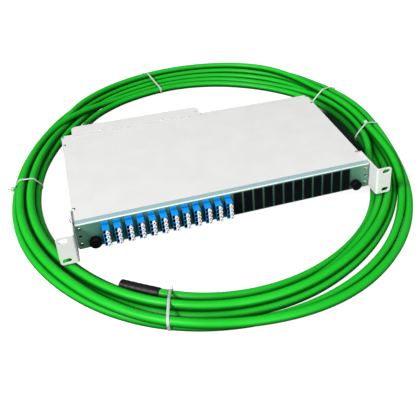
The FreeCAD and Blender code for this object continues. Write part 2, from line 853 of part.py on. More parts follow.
def knob():
    """Return the right-hand knob: a gripped round head with the latch pin behind it."""
    seat = PANEL_SETBACK - GROMMET_COLLAR - KNOB_RUNNING
    centre = Vector(knob_x, seat, KNOB_Z)
    pin_end = panel_back + PANEL_RUN_GAP + SHEET
    profile = [
        (0, seat - pin_end),
        (KNOB_PIN_RADIUS, seat - pin_end),
        (KNOB_PIN_RADIUS, 0),
        (KNOB_RADIUS, 0),
        (KNOB_RADIUS, KNOB_HEAD - KNOB_EDGE),
        (KNOB_RADIUS - KNOB_EDGE, KNOB_HEAD),
        (0, KNOB_HEAD),
    ]
    head = turned(profile, centre, Vector(0, -1, 0))
    grips = []
    for index in range(KNOB_GRIPS):
        angle = 2 * math.pi * index / KNOB_GRIPS
        rim = Vector(KNOB_RADIUS * math.cos(angle), CUT_MARGIN, KNOB_RADIUS * math.sin(angle))
        place = centre + rim
        front = place - Vector(0, KNOB_HEAD + 2 * CUT_MARGIN, 0)
        grips.append(rod(KNOB_GRIP_RADIUS, place, front))
    return head.cut(grips)


def knob_grommet():
    """Return the right-hand grommet: a collar on the panel and a sleeve through panel and tab."""
    bore = KNOB_PIN_RADIUS + KNOB_RUNNING
    sleeve_end = -(panel_back + PANEL_RUN_GAP + SHEET + GROMMET_SLEEVE_END - PANEL_SETBACK)
    profile = [
        (bore, sleeve_end),
        (GROMMET_SLEEVE_RADIUS, sleeve_end),
        (GROMMET_SLEEVE_RADIUS, 0),
        (GROMMET_COLLAR_RADIUS, 0),
        (GROMMET_COLLAR_RADIUS, GROMMET_COLLAR),
        (bore, GROMMET_COLLAR),
    ]
    return turned(profile, Vector(knob_x, PANEL_SETBACK, KNOB_Z), Vector(0, -1, 0))


def slide_tray():
    """Return the tray: a folded pan whose side flanges carry the rails, with a lip at the panel."""
    lip_x = rail_web_inner
    pan = folded_sheet(
        [
            Vector(lip_x, TRAY_WALL_FRONT, TRAY_WALL_TOP - TRAY_SIDE_LIP),
            Vector(lip_x, TRAY_WALL_FRONT, TRAY_WALL_TOP),
            Vector(tray_wall_inner, TRAY_WALL_FRONT, TRAY_WALL_TOP),
            Vector(tray_wall_inner, TRAY_WALL_FRONT, tray_floor_top),
            Vector(-tray_wall_inner, TRAY_WALL_FRONT, tray_floor_top),
            Vector(-tray_wall_inner, TRAY_WALL_FRONT, TRAY_WALL_TOP),
            Vector(-lip_x, TRAY_WALL_FRONT, TRAY_WALL_TOP),
            Vector(-lip_x, TRAY_WALL_FRONT, TRAY_WALL_TOP - TRAY_SIDE_LIP),
        ][::-1],
        SHEET,
        SHEET_BEND,
        Vector(0, TRAY_REAR - TRAY_WALL_FRONT, 0),
    )
    apron_half = tray_wall_inner - SHEET_BEND - SHEET
    apron = folded_sheet(
        [
            Vector(-apron_half, panel_back, tray_floor_top - TRAY_LIP),
            Vector(-apron_half, panel_back, tray_floor_top),
            Vector(-apron_half, TRAY_WALL_FRONT + SHEET, tray_floor_top),
        ][::-1],
        SHEET,
        TRAY_LIP_BEND,
        Vector(2 * apron_half, 0, 0),
    )
    return fuse_all([pan, apron])


def tray_rail():
    """Return the right-hand tray rail: a channel on the tray's side lip, open to the outside."""
    low = RAIL_Z - RAIL_HEIGHT / 2
    high = RAIL_Z + RAIL_HEIGHT / 2
    return folded_sheet(
        [
            Vector(rail_tip, RAIL_FRONT, low),
            Vector(rail_web_inner, RAIL_FRONT, low),
            Vector(rail_web_inner, RAIL_FRONT, high),
            Vector(rail_tip, RAIL_FRONT, high),
        ],
        RAIL_SHEET,
        RAIL_BEND,
        Vector(0, TRAY_REAR - RAIL_FRONT, 0),
    )


def guide_rail():
    """Return the right-hand guide rail: a wider channel on the chassis wall, round the tray rail."""
    reach = RAIL_SHEET + RAIL_CLEARANCE
    low = RAIL_Z - RAIL_HEIGHT / 2 - reach
    high = RAIL_Z + RAIL_HEIGHT / 2 + reach
    tip = rail_web_inner + GUIDE_LIP_GAP
    return folded_sheet(
        [
            Vector(tip, GUIDE_FRONT, low),
            Vector(wall_inner, GUIDE_FRONT, low),
            Vector(wall_inner, GUIDE_FRONT, high),
            Vector(tip, GUIDE_FRONT, high),
        ][::-1],
        RAIL_SHEET,
        RAIL_BEND,
        Vector(0, GUIDE_REAR - GUIDE_FRONT, 0),
    )


def fibre_spools():
    """Return the two open spools that slack fibre is wound on, each with a rim at the top."""
    outer = SPOOL_RADIUS
    inner = SPOOL_RADIUS - SPOOL_WALL
    profile = [
        (inner, 0),
        (outer, 0),
        (outer, SPOOL_HEIGHT - SPOOL_WALL),
        (outer + SPOOL_RIM, SPOOL_HEIGHT - SPOOL_WALL),
        (outer + SPOOL_RIM, SPOOL_HEIGHT),
        (inner, SPOOL_HEIGHT),
    ]
    return Part.makeCompound([
        turned(profile, Vector(side * SPOOL_X, SPOOL_Y, tray_floor_top), Vector(0, 0, 1))
        for side in (-1, 1)
    ])


def hexagon(across_flats, y_low, y_high):
    """Return a hexagonal block along Y on the gland's axis."""
    radius = across_flats / math.sqrt(3)
    points = []
    for index in range(6):
        angle = math.pi / 3 * index
        x = gland_x + radius * math.cos(angle)
        points.append(Vector(x, y_low, GLAND_Z + radius * math.sin(angle)))
    return Part.Face(Part.makePolygon(points + points[:1])).extrude(Vector(0, y_high - y_low, 0))


def gland_ring(radius, y_low, y_high):
    """Return a rod on the gland's axis between two depths."""
    return rod(radius, Vector(gland_x, y_low, GLAND_Z), Vector(gland_x, y_high, GLAND_Z))


def gland_body():
    """Return the gland's body: a hexagon outside the rear wall and a threaded sleeve through it."""
    bore = CABLE_RADIUS + GLAND_BORE_CLEARANCE
    inner = rear_inner - GLAND_SLEEVE_LENGTH
    outer = BODY_REAR + GLAND_HEX_LENGTH
    solid = fuse_all([
        hexagon(GLAND_HEX, BODY_REAR, outer),
        gland_ring(GLAND_THREAD_RADIUS, inner, BODY_REAR + CUT_MARGIN),
    ])
    return solid.cut(gland_ring(bore, inner - CUT_MARGIN, outer + CUT_MARGIN))


def gland_locknut():
    """Return the nut that clamps the gland to the rear wall from inside."""
    face = rear_inner - LOCKNUT_LENGTH
    nut = hexagon(GLAND_HEX, face, rear_inner)
    hole = gland_ring(GLAND_THREAD_RADIUS + GLAND_HOLE_CLEARANCE, face - CUT_MARGIN, BODY_REAR)
    return nut.cut(hole)


def gland_dome_nut():
    """Return the rounded nut that grips the cable, in front of the gland's hexagon."""
    start = BODY_REAR + GLAND_HEX_LENGTH
    bore = CABLE_RADIUS + GLAND_BORE_CLEARANCE
    profile = [
        (bore, 0),
        (DOME_SHOULDER_RADIUS, 0),
        (DOME_SHOULDER_RADIUS, DOME_SHOULDER_LENGTH),
        (DOME_WAIST_RADIUS, DOME_WAIST_LENGTH),
        (DOME_MOUTH_RADIUS, DOME_LENGTH),
        (bore, DOME_LENGTH),
    ]
    return turned(profile, Vector(gland_x, start, GLAND_Z), Vector(0, 1, 0))


def fan_out_block():
    """Return the block on the chassis floor where the cable's jacket ends and its fibres fan out."""
    block = box(
        gland_x - BLOCK_WIDTH / 2,
        gland_x + BLOCK_WIDTH / 2,
        BLOCK_FRONT,
        BLOCK_REAR,
        floor_top,
        GLAND_Z + BLOCK_RISE,
    )
    upright = Vector(0, 0, 1)
    block = round_edges(block, BLOCK_CORNER, lambda edge: runs_along(edge, upright))
    bore = CABLE_RADIUS + GLAND_BORE_CLEARANCE
    return block.cut(gland_ring(bore, BLOCK_REAR - BLOCK_SOCKET, BLOCK_REAR + CUT_MARGIN))


def strand_radius(strand, angle):
    """Return a strand's distance from the coil's centre at an angle in degrees."""
    radius = strand[0]
    for order, (cosine, sine) in enumerate(strand[1:], start=1):
        turn = math.radians(order * angle)
        radius += cosine * math.cos(turn) + sine * math.sin(turn)
    return radius


def outer_wall(angle):
    """Return the coil's outer radius at an angle in degrees."""
    return strand_radius(OUTER_STRAND, angle) + CABLE_RADIUS


def turned_from(angle, middle):
    """Return the turn from a middle angle to an angle, between -180 and 180 degrees."""
    return (angle - middle + 180) % 360 - 180


def inner_wall(angle):
    """Return the coil's inner radius at an angle, with the last turn's lap and the sleeve's bay."""
    lap = LAP_DEPTH * math.exp(-((turned_from(angle, LAP_ANGLE) / LAP_SPREAD) ** 4))
    bay = SLEEVE_BAY_DEPTH * math.exp(-((turned_from(angle, SLEEVE_ANGLE) / SLEEVE_BAY_SPREAD) ** 2))
    return strand_radius(INNER_STRAND, angle) - CABLE_RADIUS - lap + bay


def coil_point(radius, angle, z):
    """Return a point at a radius and angle about the coil's centre."""
    turn = math.radians(angle)
    x = COIL_CENTRE_X + radius * math.cos(turn)
    return Vector(x, COIL_CENTRE_Y + radius * math.sin(turn), z)


def coil_wire(wall, z):
    """Return the closed smooth curve of a coil wall at a height."""
    angles = [360 * index / COIL_POINTS for index in range(COIL_POINTS)]
    curve = Part.BSplineCurve()
    points = [coil_point(wall(angle), angle, z) for angle in angles]
    curve.interpolate(Points=points, PeriodicFlag=True)
    return Part.Wire(curve.toShape())


def coil_stack(wall, ease):
    """Return a solid inside a coil wall, drawn in or out by the ease at its top and bottom."""

    def eased(angle):
        """Return the wall's radius at the top and bottom faces."""
        return wall(angle) + ease

    depth = abs(ease)
    wires = [
        coil_wire(eased, coil_bottom),
        coil_wire(wall, coil_bottom + depth),
        coil_wire(wall, coil_top - depth),
        coil_wire(eased, coil_top),
    ]
    return Part.makeLoft(wires, True, True)


def cable_coil():
    """Return the coil's outer form: a flat ring between its inner and outer walls, edges eased."""
    return coil_stack(outer_wall, -COIL_EDGE).cut(coil_stack(inner_wall, COIL_EDGE))


def tie_slack(angle):
    """Return the room that a tie's flat sides need where the coil's walls run askew to them."""
    step = 1.0
    slopes = [
        abs(wall(angle + step) - wall(angle - step)) / (2 * math.radians(step) * wall(angle))
        for wall in (outer_wall, inner_wall)
    ]
    return TIE_CLEARANCE + max(slopes) * TIE_WIDTH


def cable_tie(angle, head_inside):
    """Return one tie: a flat band round the coil's section, with its head on one side."""
    turn = math.radians(angle)
    outward = Vector(math.cos(turn), math.sin(turn), 0)
    across = Vector(-math.sin(turn), math.cos(turn), 0)
    low = coil_bottom - TIE_CLEARANCE
    high = coil_top + TIE_CLEARANCE
    inner = inner_wall(angle) - tie_slack(angle)
    outer = outer_wall(angle) + tie_slack(angle)

    def band(grow):
        """Return the block inside the band's outline, grown by a distance."""
        points = [
            coil_point(inner - grow, angle, low - grow),
            coil_point(outer + grow, angle, low - grow),
            coil_point(outer + grow, angle, high + grow),
            coil_point(inner - grow, angle, high + grow),
        ]
        near = [point - across * (TIE_WIDTH / 2) for point in points]
        return Part.Face(rounded_wire(near, [TIE_CORNER + grow] * 4)).extrude(across * TIE_WIDTH)

    loop = band(TIE_THICKNESS).cut(band(0))
    if head_inside:
        start = coil_point(inner - TIE_HEAD_RISE, angle, high - TIE_HEAD_DROP)
    else:
        start = coil_point(outer, angle, high - TIE_HEAD_DROP)
    near_corner = start - across * (TIE_HEAD / 2) - Vector(0, 0, TIE_HEAD)
    corners = [
        near_corner,
        near_corner + outward * TIE_HEAD_RISE,
        near_corner + outward * TIE_HEAD_RISE + across * TIE_HEAD,
        near_corner + across * TIE_HEAD,
    ]
    head = Part.Face(Part.makePolygon(corners + corners[:1])).extrude(Vector(0, 0, TIE_HEAD))
    return fuse_all([loop, head])


def end_sleeve():
    """Return the shrunk sleeve on the cable's free end, lying along the coil's inner wall."""
    centre_radius = inner_wall(SLEEVE_ANGLE)
    half_turn = math.degrees(SLEEVE_LENGTH / 2 / centre_radius)
    ends = []
    for angle in (SLEEVE_ANGLE + half_turn, SLEEVE_ANGLE - half_turn):
        radius = inner_wall(angle) - SLEEVE_GAP - SLEEVE_RADIUS
        ends.append(coil_point(radius, angle, ground + SLEEVE_RADIUS))
    sleeve = rod(SLEEVE_RADIUS, ends[0], ends[1])
    rims = [edge for edge in sleeve.Edges if len(edge.Vertexes) == 1]
    return sleeve.makeFillet(SLEEVE_EDGE, rims)


def cable_exit():
    """Return the cable from the fan-out block to the coil, and print its radii and volume."""
    edges = []
    position = cable_points[0]
    for before, corner, after in zip(cable_points, cable_points[1:], cable_points[2:]):
        back = before - corner
        ahead = after - corner
        half_turn = (math.pi - back.getAngle(ahead)) / 2
        reach = ARC_SHARE * min(back.Length, ahead.Length)
        radius = reach / math.tan(half_turn)
        start = corner + Vector(back).normalize() * reach
        end = corner + Vector(ahead).normalize() * reach
        inward = (Vector(back).normalize() + Vector(ahead).normalize()).normalize()
        middle = corner + inward * (radius / math.cos(half_turn) - radius)
        edges.append(Part.LineSegment(position, start).toShape())
        edges.append(Part.Arc(start, middle, end).toShape())
        position = end
        print("cable bend radius %.1f" % radius)
    edges.append(Part.LineSegment(position, cable_points[-1]).toShape())
    path = Part.Wire(edges)
    heading = cable_points[1] - cable_points[0]
    section = Part.Wire(Part.makeCircle(CABLE_RADIUS, cable_points[0], heading))
    tube = path.makePipeShell([section], True, True)
    expected = math.pi * CABLE_RADIUS**2 * path.Length
    print("cable volume %.1f, section times length %.1f" % (tube.Volume, expected))
    return tube


def build():
    """Return every piece of the object by its name."""
    parts = {
        "chassis_base": chassis_base(),
        "top_cover": top_cover(),
        "rear_cable_plate": rear_cable_plate(),
        "rear_plate_rivets": rear_plate_rivets(),
        "ear_right": ear(),
        "ear_left": mirrored(ear()),
        "ear_screws": ear_screws(),
        "cover_screws": cover_screws(),
        "front_panel": front_panel(),
        "panel_rivets": panel_rivets(),
        "anchor_nuts": anchor_nuts(),
        "knob_right": knob(),
        "knob_left": mirrored(knob()),
        "knob_grommet_right": knob_grommet(),
        "knob_grommet_left": mirrored(knob_grommet()),
        "slide_tray": slide_tray(),
        "tray_rail_right": tray_rail(),
        "tray_rail_left": mirrored(tray_rail()),
        "guide_rail_right": guide_rail(),
        "guide_rail_left": mirrored(guide_rail()),
        "fibre_spools": fibre_spools(),
        "dust_caps": dust_caps(),
        "rear_connectors": rear_connectors(),
        "gland_body": gland_body(),
        "gland_locknut": gland_locknut(),
        "gland_dome_nut": gland_dome_nut(),
        "fan_out_block": fan_out_block(),
        "cable_exit": cable_exit(),
        "cable_coil": cable_coil(),
        "end_sleeve": end_sleeve(),
    }
    for number, (angle, head_inside) in enumerate(TIES, start=1):
        parts["cable_tie_%d" % number] = cable_tie(angle, head_inside)
    for index in range(ADAPTER_COUNT):
        parts["adapter_%02d" % (index + 1)] = adapter(index)
    for index in range(ADAPTER_COUNT, PORT_COUNT):
        parts["blank_plug_%02d" % (index + 1 - ADAPTER_COUNT)] = blank_plug(index)
    return parts


os.makedirs("parts", exist_ok=True)
for name, shape in build().items():
    shape.exportStep("parts/%s.step" % name)
    print(name, shape.isValid(), len(shape.Solids), round(shape.Volume, 1))
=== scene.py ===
"""Looks of the rack optical distribution frame: cable, ties, finishes, light and camera.

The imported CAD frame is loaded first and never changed. The trunk cable, its ties, its end sleeve
and the dust caps are built here from formulas, and every CAD node gets a procedural finish.
Lengths are in metres and angles in degrees, unless a name says otherwise.
"""

from __future__ import annotations

import json
import logging
from dataclasses import dataclass, field, replace
from enum import Enum
from functools import reduce
from typing import Any, Sequence

import bpy
import numpy as np
from mathutils import Matrix, Vector

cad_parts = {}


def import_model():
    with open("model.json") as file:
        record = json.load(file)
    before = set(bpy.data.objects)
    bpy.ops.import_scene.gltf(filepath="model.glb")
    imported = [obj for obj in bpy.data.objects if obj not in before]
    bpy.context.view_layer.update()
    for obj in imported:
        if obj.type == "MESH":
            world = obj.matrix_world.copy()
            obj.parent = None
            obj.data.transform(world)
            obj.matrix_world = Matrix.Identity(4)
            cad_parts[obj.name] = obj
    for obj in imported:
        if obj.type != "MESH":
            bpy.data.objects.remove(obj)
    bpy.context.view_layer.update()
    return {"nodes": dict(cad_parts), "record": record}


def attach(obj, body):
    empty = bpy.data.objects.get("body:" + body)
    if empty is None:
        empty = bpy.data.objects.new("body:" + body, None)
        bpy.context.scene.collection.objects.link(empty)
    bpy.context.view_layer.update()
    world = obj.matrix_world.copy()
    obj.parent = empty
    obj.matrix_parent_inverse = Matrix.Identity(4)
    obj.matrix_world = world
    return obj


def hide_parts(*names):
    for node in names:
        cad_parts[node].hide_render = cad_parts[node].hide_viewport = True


log = logging.getLogger("optical_frame")

Colour = tuple[float, float, float]
Point = tuple[float, float, float]
Span = tuple[float, float]
Array = np.ndarray
Material = bpy.types.Material
Piece = bpy.types.Object
Socket = bpy.types.NodeSocket

MM = 0.001
UP = np.array([0.0, 0.0, 1.0])
BLOCK_ROWS, BLOCK_COLS = 15, 32
# Inputs of the shared grain: the edge colour is a painted highlight, and the hollow number sets painted
# shade.
GRAIN_COLOURS = ("Colour", "Patch Colour", "Edge Highlight")
GRAIN_NUMBERS = ("Patch Scale", "Grain Scale", "Relief", "Edge Radius", "Hollow", "Roughness")
BLACK: Colour = (0.0, 0.0, 0.0)
WHITE: Colour = (1.0, 1.0, 1.0)


class Body(str, Enum):
    """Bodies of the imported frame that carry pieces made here."""

    CHASSIS = "chassis"
    TRAY = "tray"


class Slot(str, Enum):
    """Material slots of the record."""

    CHASSIS = "chassis_paint"
    PANEL = "panel_anodised"
    TRAY = "tray_zinc"
    STEEL = "fastener_steel"
    ADAPTER = "adapter_blue"
    CAP = "cap_white"
    CONNECTOR = "connector_blue"
    BLANK = "blank_black"
    KNOB = "knob_black"
    SPOOL = "spool_white"
    GLAND = "gland_black"
    CABLE = "cable_green"
    SLEEVE = "sleeve_black"
    TIE = "tie_nylon"


class Extra(str, Enum):
    """Finishes beside those of the record's slots."""

    BORE_SHADE = "cap_bore"
    PLATE = "plate_paint"


class Effect(str, Enum):
    """Shared effects, by the names of their node groups."""

    GRAIN = "surface_grain"
    SPANGLE = "zinc_spangle"
    SHADE = "chassis_shade"


# Camera and light


@dataclass(frozen=True)
class PhotoCamera:
    """Camera of the photograph: its place, its axes and its picture's scale."""

    place: Point = (-0.17797, -0.69484, 0.51838)
    right: Point = (0.93703, -0.34911, -0.00948)
    down: Point = (-0.19214, -0.49267, -0.84874)
    forward: Point = (0.29163, 0.79712, -0.52873)
    focal_px: float = 627.67
    axis_px: tuple[float, float] = (288.31, 167.82)
    image_px: float = 420.0
    sensor_mm: float = 36.0
    nearest: float = 0.01

    def build(self) -> None:
        """Add the camera and make it the scene's own.

        The lens is focal_px * sensor / image_px, and the shifts are the way from the optical axis
        to the middle of the picture, in picture widths.
        """
        data = bpy.data.cameras.new("photo_camera")
        data.sensor_width = self.sensor_mm
        data.lens = self.focal_px * self.sensor_mm / self.image_px
        data.shift_x = (self.image_px / 2 - self.axis_px[0]) / self.image_px
        data.shift_y = (self.axis_px[1] - self.image_px / 2) / self.image_px
        data.clip_start = self.nearest
        data.dof.use_dof = False
        camera = new_object("photo_camera", data)
        matrix = np.eye(4)
        matrix[:3, :3] = np.array([self.right, -np.array(self.down), -np.array(self.forward)]).T
        matrix[:3, 3] = self.place
        camera.matrix_world = Matrix(matrix.tolist())
        bpy.context.scene.camera = camera
        log.info("camera: lens %.2f mm", data.lens)


@dataclass(frozen=True)
class SoftLight:
    """One large round area light that looks at a point."""

    name: str
    place: Point
    target: Point
    size: float
    watts: float

    def build(self) -> None:
        """Add the light, turned so that its -Z axis points at the target."""
        data = bpy.data.lights.new(self.name, "AREA")
        data.shape = "DISK"
        data.size = self.size
        data.energy = self.watts
        lamp = new_object(self.name, data)
        turn = (Vector(self.target) - Vector(self.place)).to_track_quat("-Z", "Y")
        lamp.matrix_world = Matrix.Translation(self.place) @ turn.to_matrix().to_4x4()
        log.info("light %s: %.0f W", self.name, self.watts)


# Meshes from formulas


def new_object(name: str, data: bpy.types.ID) -> Piece:
    """Make an object at the origin from its data.

    Args:
        name: Name of the object.
        data: Its mesh, curve, camera or light.

    Returns:
        The linked object.
    """
    piece = bpy.data.objects.new(name, data)
    bpy.context.scene.collection.objects.link(piece)
    return piece


def round_angles(count: int) -> Array:
    """Return that many angles round a full turn, in radians."""
    return np.linspace(0, 2 * np.pi, count, endpoint=False)


def signed_power(wave: Array, power: float) -> Array:
    """Return sign(wave) |wave|^power."""
    return np.sign(wave) * np.abs(wave) ** power


def grid_faces(rows: int, cols: int, wrap_rows: bool = False) -> Array:
    """Return the quads of a grid of points whose rows are closed rings.

    Args:
        rows: Number of point rows.
        cols: Number of points in a row.
        wrap_rows: Whether the last row joins the first.

    Returns:
        An array of shape (faces, 4) of indices row * cols + col.
    """
    row = np.arange(rows if wrap_rows else rows - 1)
    i, j = np.meshgrid(row, np.arange(cols), indexing="ij")
    k, n = (i + 1) % rows, (j + 1) % cols
    return np.stack([i * cols + j, i * cols + n, k * cols + n, k * cols + j], -1).reshape(-1, 4)


def mesh_object(
    name: str,
    points: Array,
    faces: Array,
    materials: Sequence[Material],
    face_slots: Array | None = None,
) -> Piece:
    """Make a smooth object at the origin from points and quads.

    Args:
        name: Name of the object.
        points: Points, whose last axis is X, Y and Z.
        faces: Indices of shape (m, 4).
        materials: Materials, in slot order.
        face_slots: Material slot of each face, or None for the first.

    Returns:
        The linked object.
    """
    mesh = bpy.data.meshes.new(name)
    mesh.from_pydata(points.reshape(-1, 3).tolist(), [], faces.tolist())
    for material in materials:
        mesh.materials.append(material)
    if face_slots is not None:
        mesh.polygons.foreach_set("material_index", np.asarray(face_slots, np.int32))
    mesh.polygons.foreach_set("use_smooth", np.full(len(mesh.polygons), True))
    mesh.validate()
    mesh.update()
    piece = new_object(name, mesh)
    log.info("piece %s: %d faces", name, len(mesh.polygons))
    return piece


def rounded_block(
    centre: Array, axes: Array, half: Sequence[float], power: float = 0.25
) -> tuple[Array, Array]:
    """Return a block with rounded edges.

    With c(t) = sign(cos t) |cos t|^power and s(t) alike, the surface is
    centre + a c(u) c(v) A + b c(u) s(v) B + h s(u) C for u in [-90, 90] and v in [0, 360).

    Args:
        centre: Middle of the block.
        axes: Rows A, B and C, unit vectors.
        half: Half lengths a, b and h.
        power: 1 is an ellipsoid, and a small value is nearly a box.

    Returns:
        Points of shape (n, 3) and quads.
    """
    u = np.linspace(-np.pi / 2, np.pi / 2, BLOCK_ROWS)[:, None]
    v = round_angles(BLOCK_COLS)[None, :]
    level = signed_power(np.cos(u), power)
    spots = (
        half[0] * level * signed_power(np.cos(v), power),
        half[1] * level * signed_power(np.sin(v), power),
        half[2] * signed_power(np.sin(u), power),
    )
    local = np.stack(np.broadcast_arrays(*spots), -1)
    return (centre + local @ axes).reshape(-1, 3), grid_faces(BLOCK_ROWS, BLOCK_COLS)


# Trunk cable


@dataclass(frozen=True)
class Laying:
    """How the passes settle on each other over a range of angles.

    Attributes:
        lowest: Lowest angle of the range, which starts where the one before it ends.
        order: The passes, in the order in which they are laid down.
        ceiling: Greatest height of a pass above the lowest strands.
    """

    lowest: int
    order: tuple[int, ...]
    ceiling: float = 0.0120


@dataclass(frozen=True)
class CoilPlan:
    """How the cable winds: clockwise from above, six passes that lie beside and on each other.

    A pass runs from angle 180 down to -180 and goes over into the next one there. The innermost
    strand is r(t) = mean + sum(a_k cos kt + b_k sin kt), and each pass lies outside it by the
    distance that the stations give: rows of an angle and the places of passes 0 to 5. Where a
    pass isn't there, its value is never used.
    """

    centre: tuple[float, float] = (0.018, 0.228)
    low_z: float = -0.03966
    strand: float = 0.0126
    mean_mm: float = 301.8
    harmonics_mm: tuple[Span, ...] = ((-8.8, -15.5), (-23.4, 8.0), (3.7, -0.2), (1.5, -0.5))
    start_angle: int = 95
    end_angle: int = -125
    passes: int = 6
    step: int = 10
    smoothing: int = 25
    laying: tuple[Laying, ...] = (
        Laying(137, (1, 3, 4, 0, 2, 5)),
        Laying(62, (0, 1, 2, 4, 3, 5)),
        Laying(-27, (0, 1, 5, 2, 4, 3), 0.0232),
        Laying(-47, (5, 2, 4, 3, 0, 1)),
        Laying(-180, (5, 2, 3, 0, 1, 4), 0.0107),
    )
    stations_mm: tuple[tuple[float, ...], ...] = (
        (180, 0, 0, 7.5, 15, 30, 22.5),
        (150, -5, 1, 9.5, 18, 34, 26),
        (135, -5, 4, 17, 30, 43, 21),
        (126, -4.6, 14, 36.5, 43.5, 50, 10),
        (120, -2, 22, 40.5, 47, 53.5, 7),
        (105, -1, 29, 49.5, 56.5, 63.5, 10.5),
        (90, 0, 38, 60.5, 69, 77.5, 17),
        (75, 0, 43, 69.5, 78, 86.5, 21),
        (60, 0, 45, 73.5, 80, 86.5, 20),
        (45, 3, 40, 60, 56, 71, 17),
        (35, 5, 28, 42, 36, 52, 14),
        (25, 2.5, 19.3, 27, 17.5, 34, 12.5),
        (10, -2.5, 14.7, 21, 13, 27, 7.5),
        (-8, -7.5, 7.6, 14, 7, 20.5, 1),
        (-16, -5, 7.8, 17, 14, 26, -4),
        (-27, -1, 11, 26, 33, 39.5, -14),
        (-47, 10, 22.5, 30, 44, 57.5, 2),
        (-60, 15, 26, 32, 53.5, 67, 7),
        (-75, 19.5, 28.5, 35, 58, 71.5, 8),
        (-90, 24.5, 33, 39.5, 56.5, 67.5, 7),
        (-105, 18.5, 27, 34, 50.5, 56, 1.5),
        (-113, 13.5, 22.5, 30, 47.5, 52.5, -2.5),
        (-120, 7.5, 18, 26, 42.5, 43, -7.5),
        (-135, 2, 9.5, 17, 34.5, 28, -8),
        (-150, 0, 8, 16, 32, 24, -8),
        (-180, 0, 7.5, 15, 30, 22.5, -8),
    )

    @property
    def angles(self) -> Array:
        """Whole angles of one pass, from 180 down to -179."""
        return 180 - np.arange(360)

    def inner_radius(self, angles: Array) -> Array:
        """Return the innermost strand's radius r(t).

        Args:
            angles: The angles t.

        Returns:
            A radius for each angle.
        """
        turn = np.radians(angles)[..., None]
        k = np.arange(1, len(self.harmonics_mm) + 1)
        a, b = np.array(self.harmonics_mm).T
        return (self.mean_mm + (a * np.cos(k * turn) + b * np.sin(k * turn)).sum(-1)) * MM

    def present(self) -> Array:
        """Return which samples the cable has.

        Returns:
            True or False for each pass and whole angle.
        """
        mask = np.ones((self.passes, len(self.angles)), bool)
        mask[0] = self.angles <= self.start_angle
        mask[-1] = self.angles >= self.end_angle
        return mask

    def eased(self, values: Array) -> Array:
        """Return values of the samples, smoothed along the cable by a raised cosine window.

        Args:
            values: A value for each pass and whole angle.

        Returns:
            The smoothed values, in the same shape, with NaN where there is no cable.
        """
        mask = self.present()
        window = np.hanning(self.smoothing + 2)[1:-1]
        padded = np.pad(values[mask], self.smoothing // 2, mode="edge")
        out = np.full(values.shape, np.nan)
        out[mask] = np.convolve(padded, window / window.sum(), mode="valid")
        return out

    def sideways(self) -> Array:
        """Return how far each pass lies outside the inner curve.

        Returns:
            The stations' places, carried from angle to angle in straight lines and smoothed.
        """
        known, *places = np.array(self.stations_mm)[::-1].T
        rows = np.stack([np.interp(self.angles, known, column) for column in places])
        return self.eased(rows * MM)

    def heights(self, sideways: Array) -> Array:
        """Return how high each pass settles above the lowest strands, range by range.

        Args:
            sideways: Distance of each pass outside the inner curve.

        Returns:
            A smoothed height for each pass and whole angle.
        """
        chosen = np.full(sideways.shape, np.nan)
        todo = np.ones(len(self.angles), bool)
        for span in self.laying:
            now = todo & (self.angles >= span.lowest)
            chosen[:, now] = np.minimum(self.settled(sideways[:, now], span.order), span.ceiling)
            todo &= ~now
        return self.eased(chosen)

    def settled(self, sideways: Array, order: Sequence[int]) -> Array:
        """Return the heights when the passes are laid down in one order.

        A strand at x rests at max(0, h_j + sqrt(d^2 - (x - x_j)^2)) over the strands j that are
        already down and nearer than the diameter d, as stacked bars do.

        Args:
            sideways: Distance of each pass outside the inner curve.
            order: The passes, from the first one laid to the last.

        Returns:
            Heights in the shape of the distances.
        """
        height = np.full(sideways.shape, np.nan)
        height[order[0]] = 0.0
        for place, strand in enumerate(order[1:], start=1):
            below = list(order[:place])
            apart = np.abs(sideways[strand] - sideways[below])
            rest = height[below] + np.sqrt(np.maximum(self.strand**2 - apart**2, 0.0))
            rest = np.where(apart < self.strand, rest, 0.0)
            height[strand] = np.fmax(np.fmax.reduce(np.nan_to_num(rest), axis=0), 0.0)
        return height

    def turns(self) -> Array:
        """Return the control points of the coil's turns, one every step degrees.

        A quadratic B-spline on points of a circle runs at 0.75 + 0.25 cos(step) of its radius, so
        the points lie that much further out.

        Returns:
            Points of shape (n, 3), from the start of the first pass to the end of the last.
        """
        sideways = self.sideways()
        height = self.heights(sideways)
        mask = self.present()
        angle = np.broadcast_to(self.angles, mask.shape)[mask][:: self.step]
        gain = 1.0 / (0.75 + 0.25 * np.cos(np.radians(self.step)))
        radius = (self.inner_radius(angle) + sideways[mask][:: self.step]) * gain
        turn = np.radians(angle)
        x = self.centre[0] + radius * np.cos(turn)
        y = self.centre[1] + radius * np.sin(turn)
        return np.stack([x, y, self.low_z + height[mask][:: self.step]], -1)


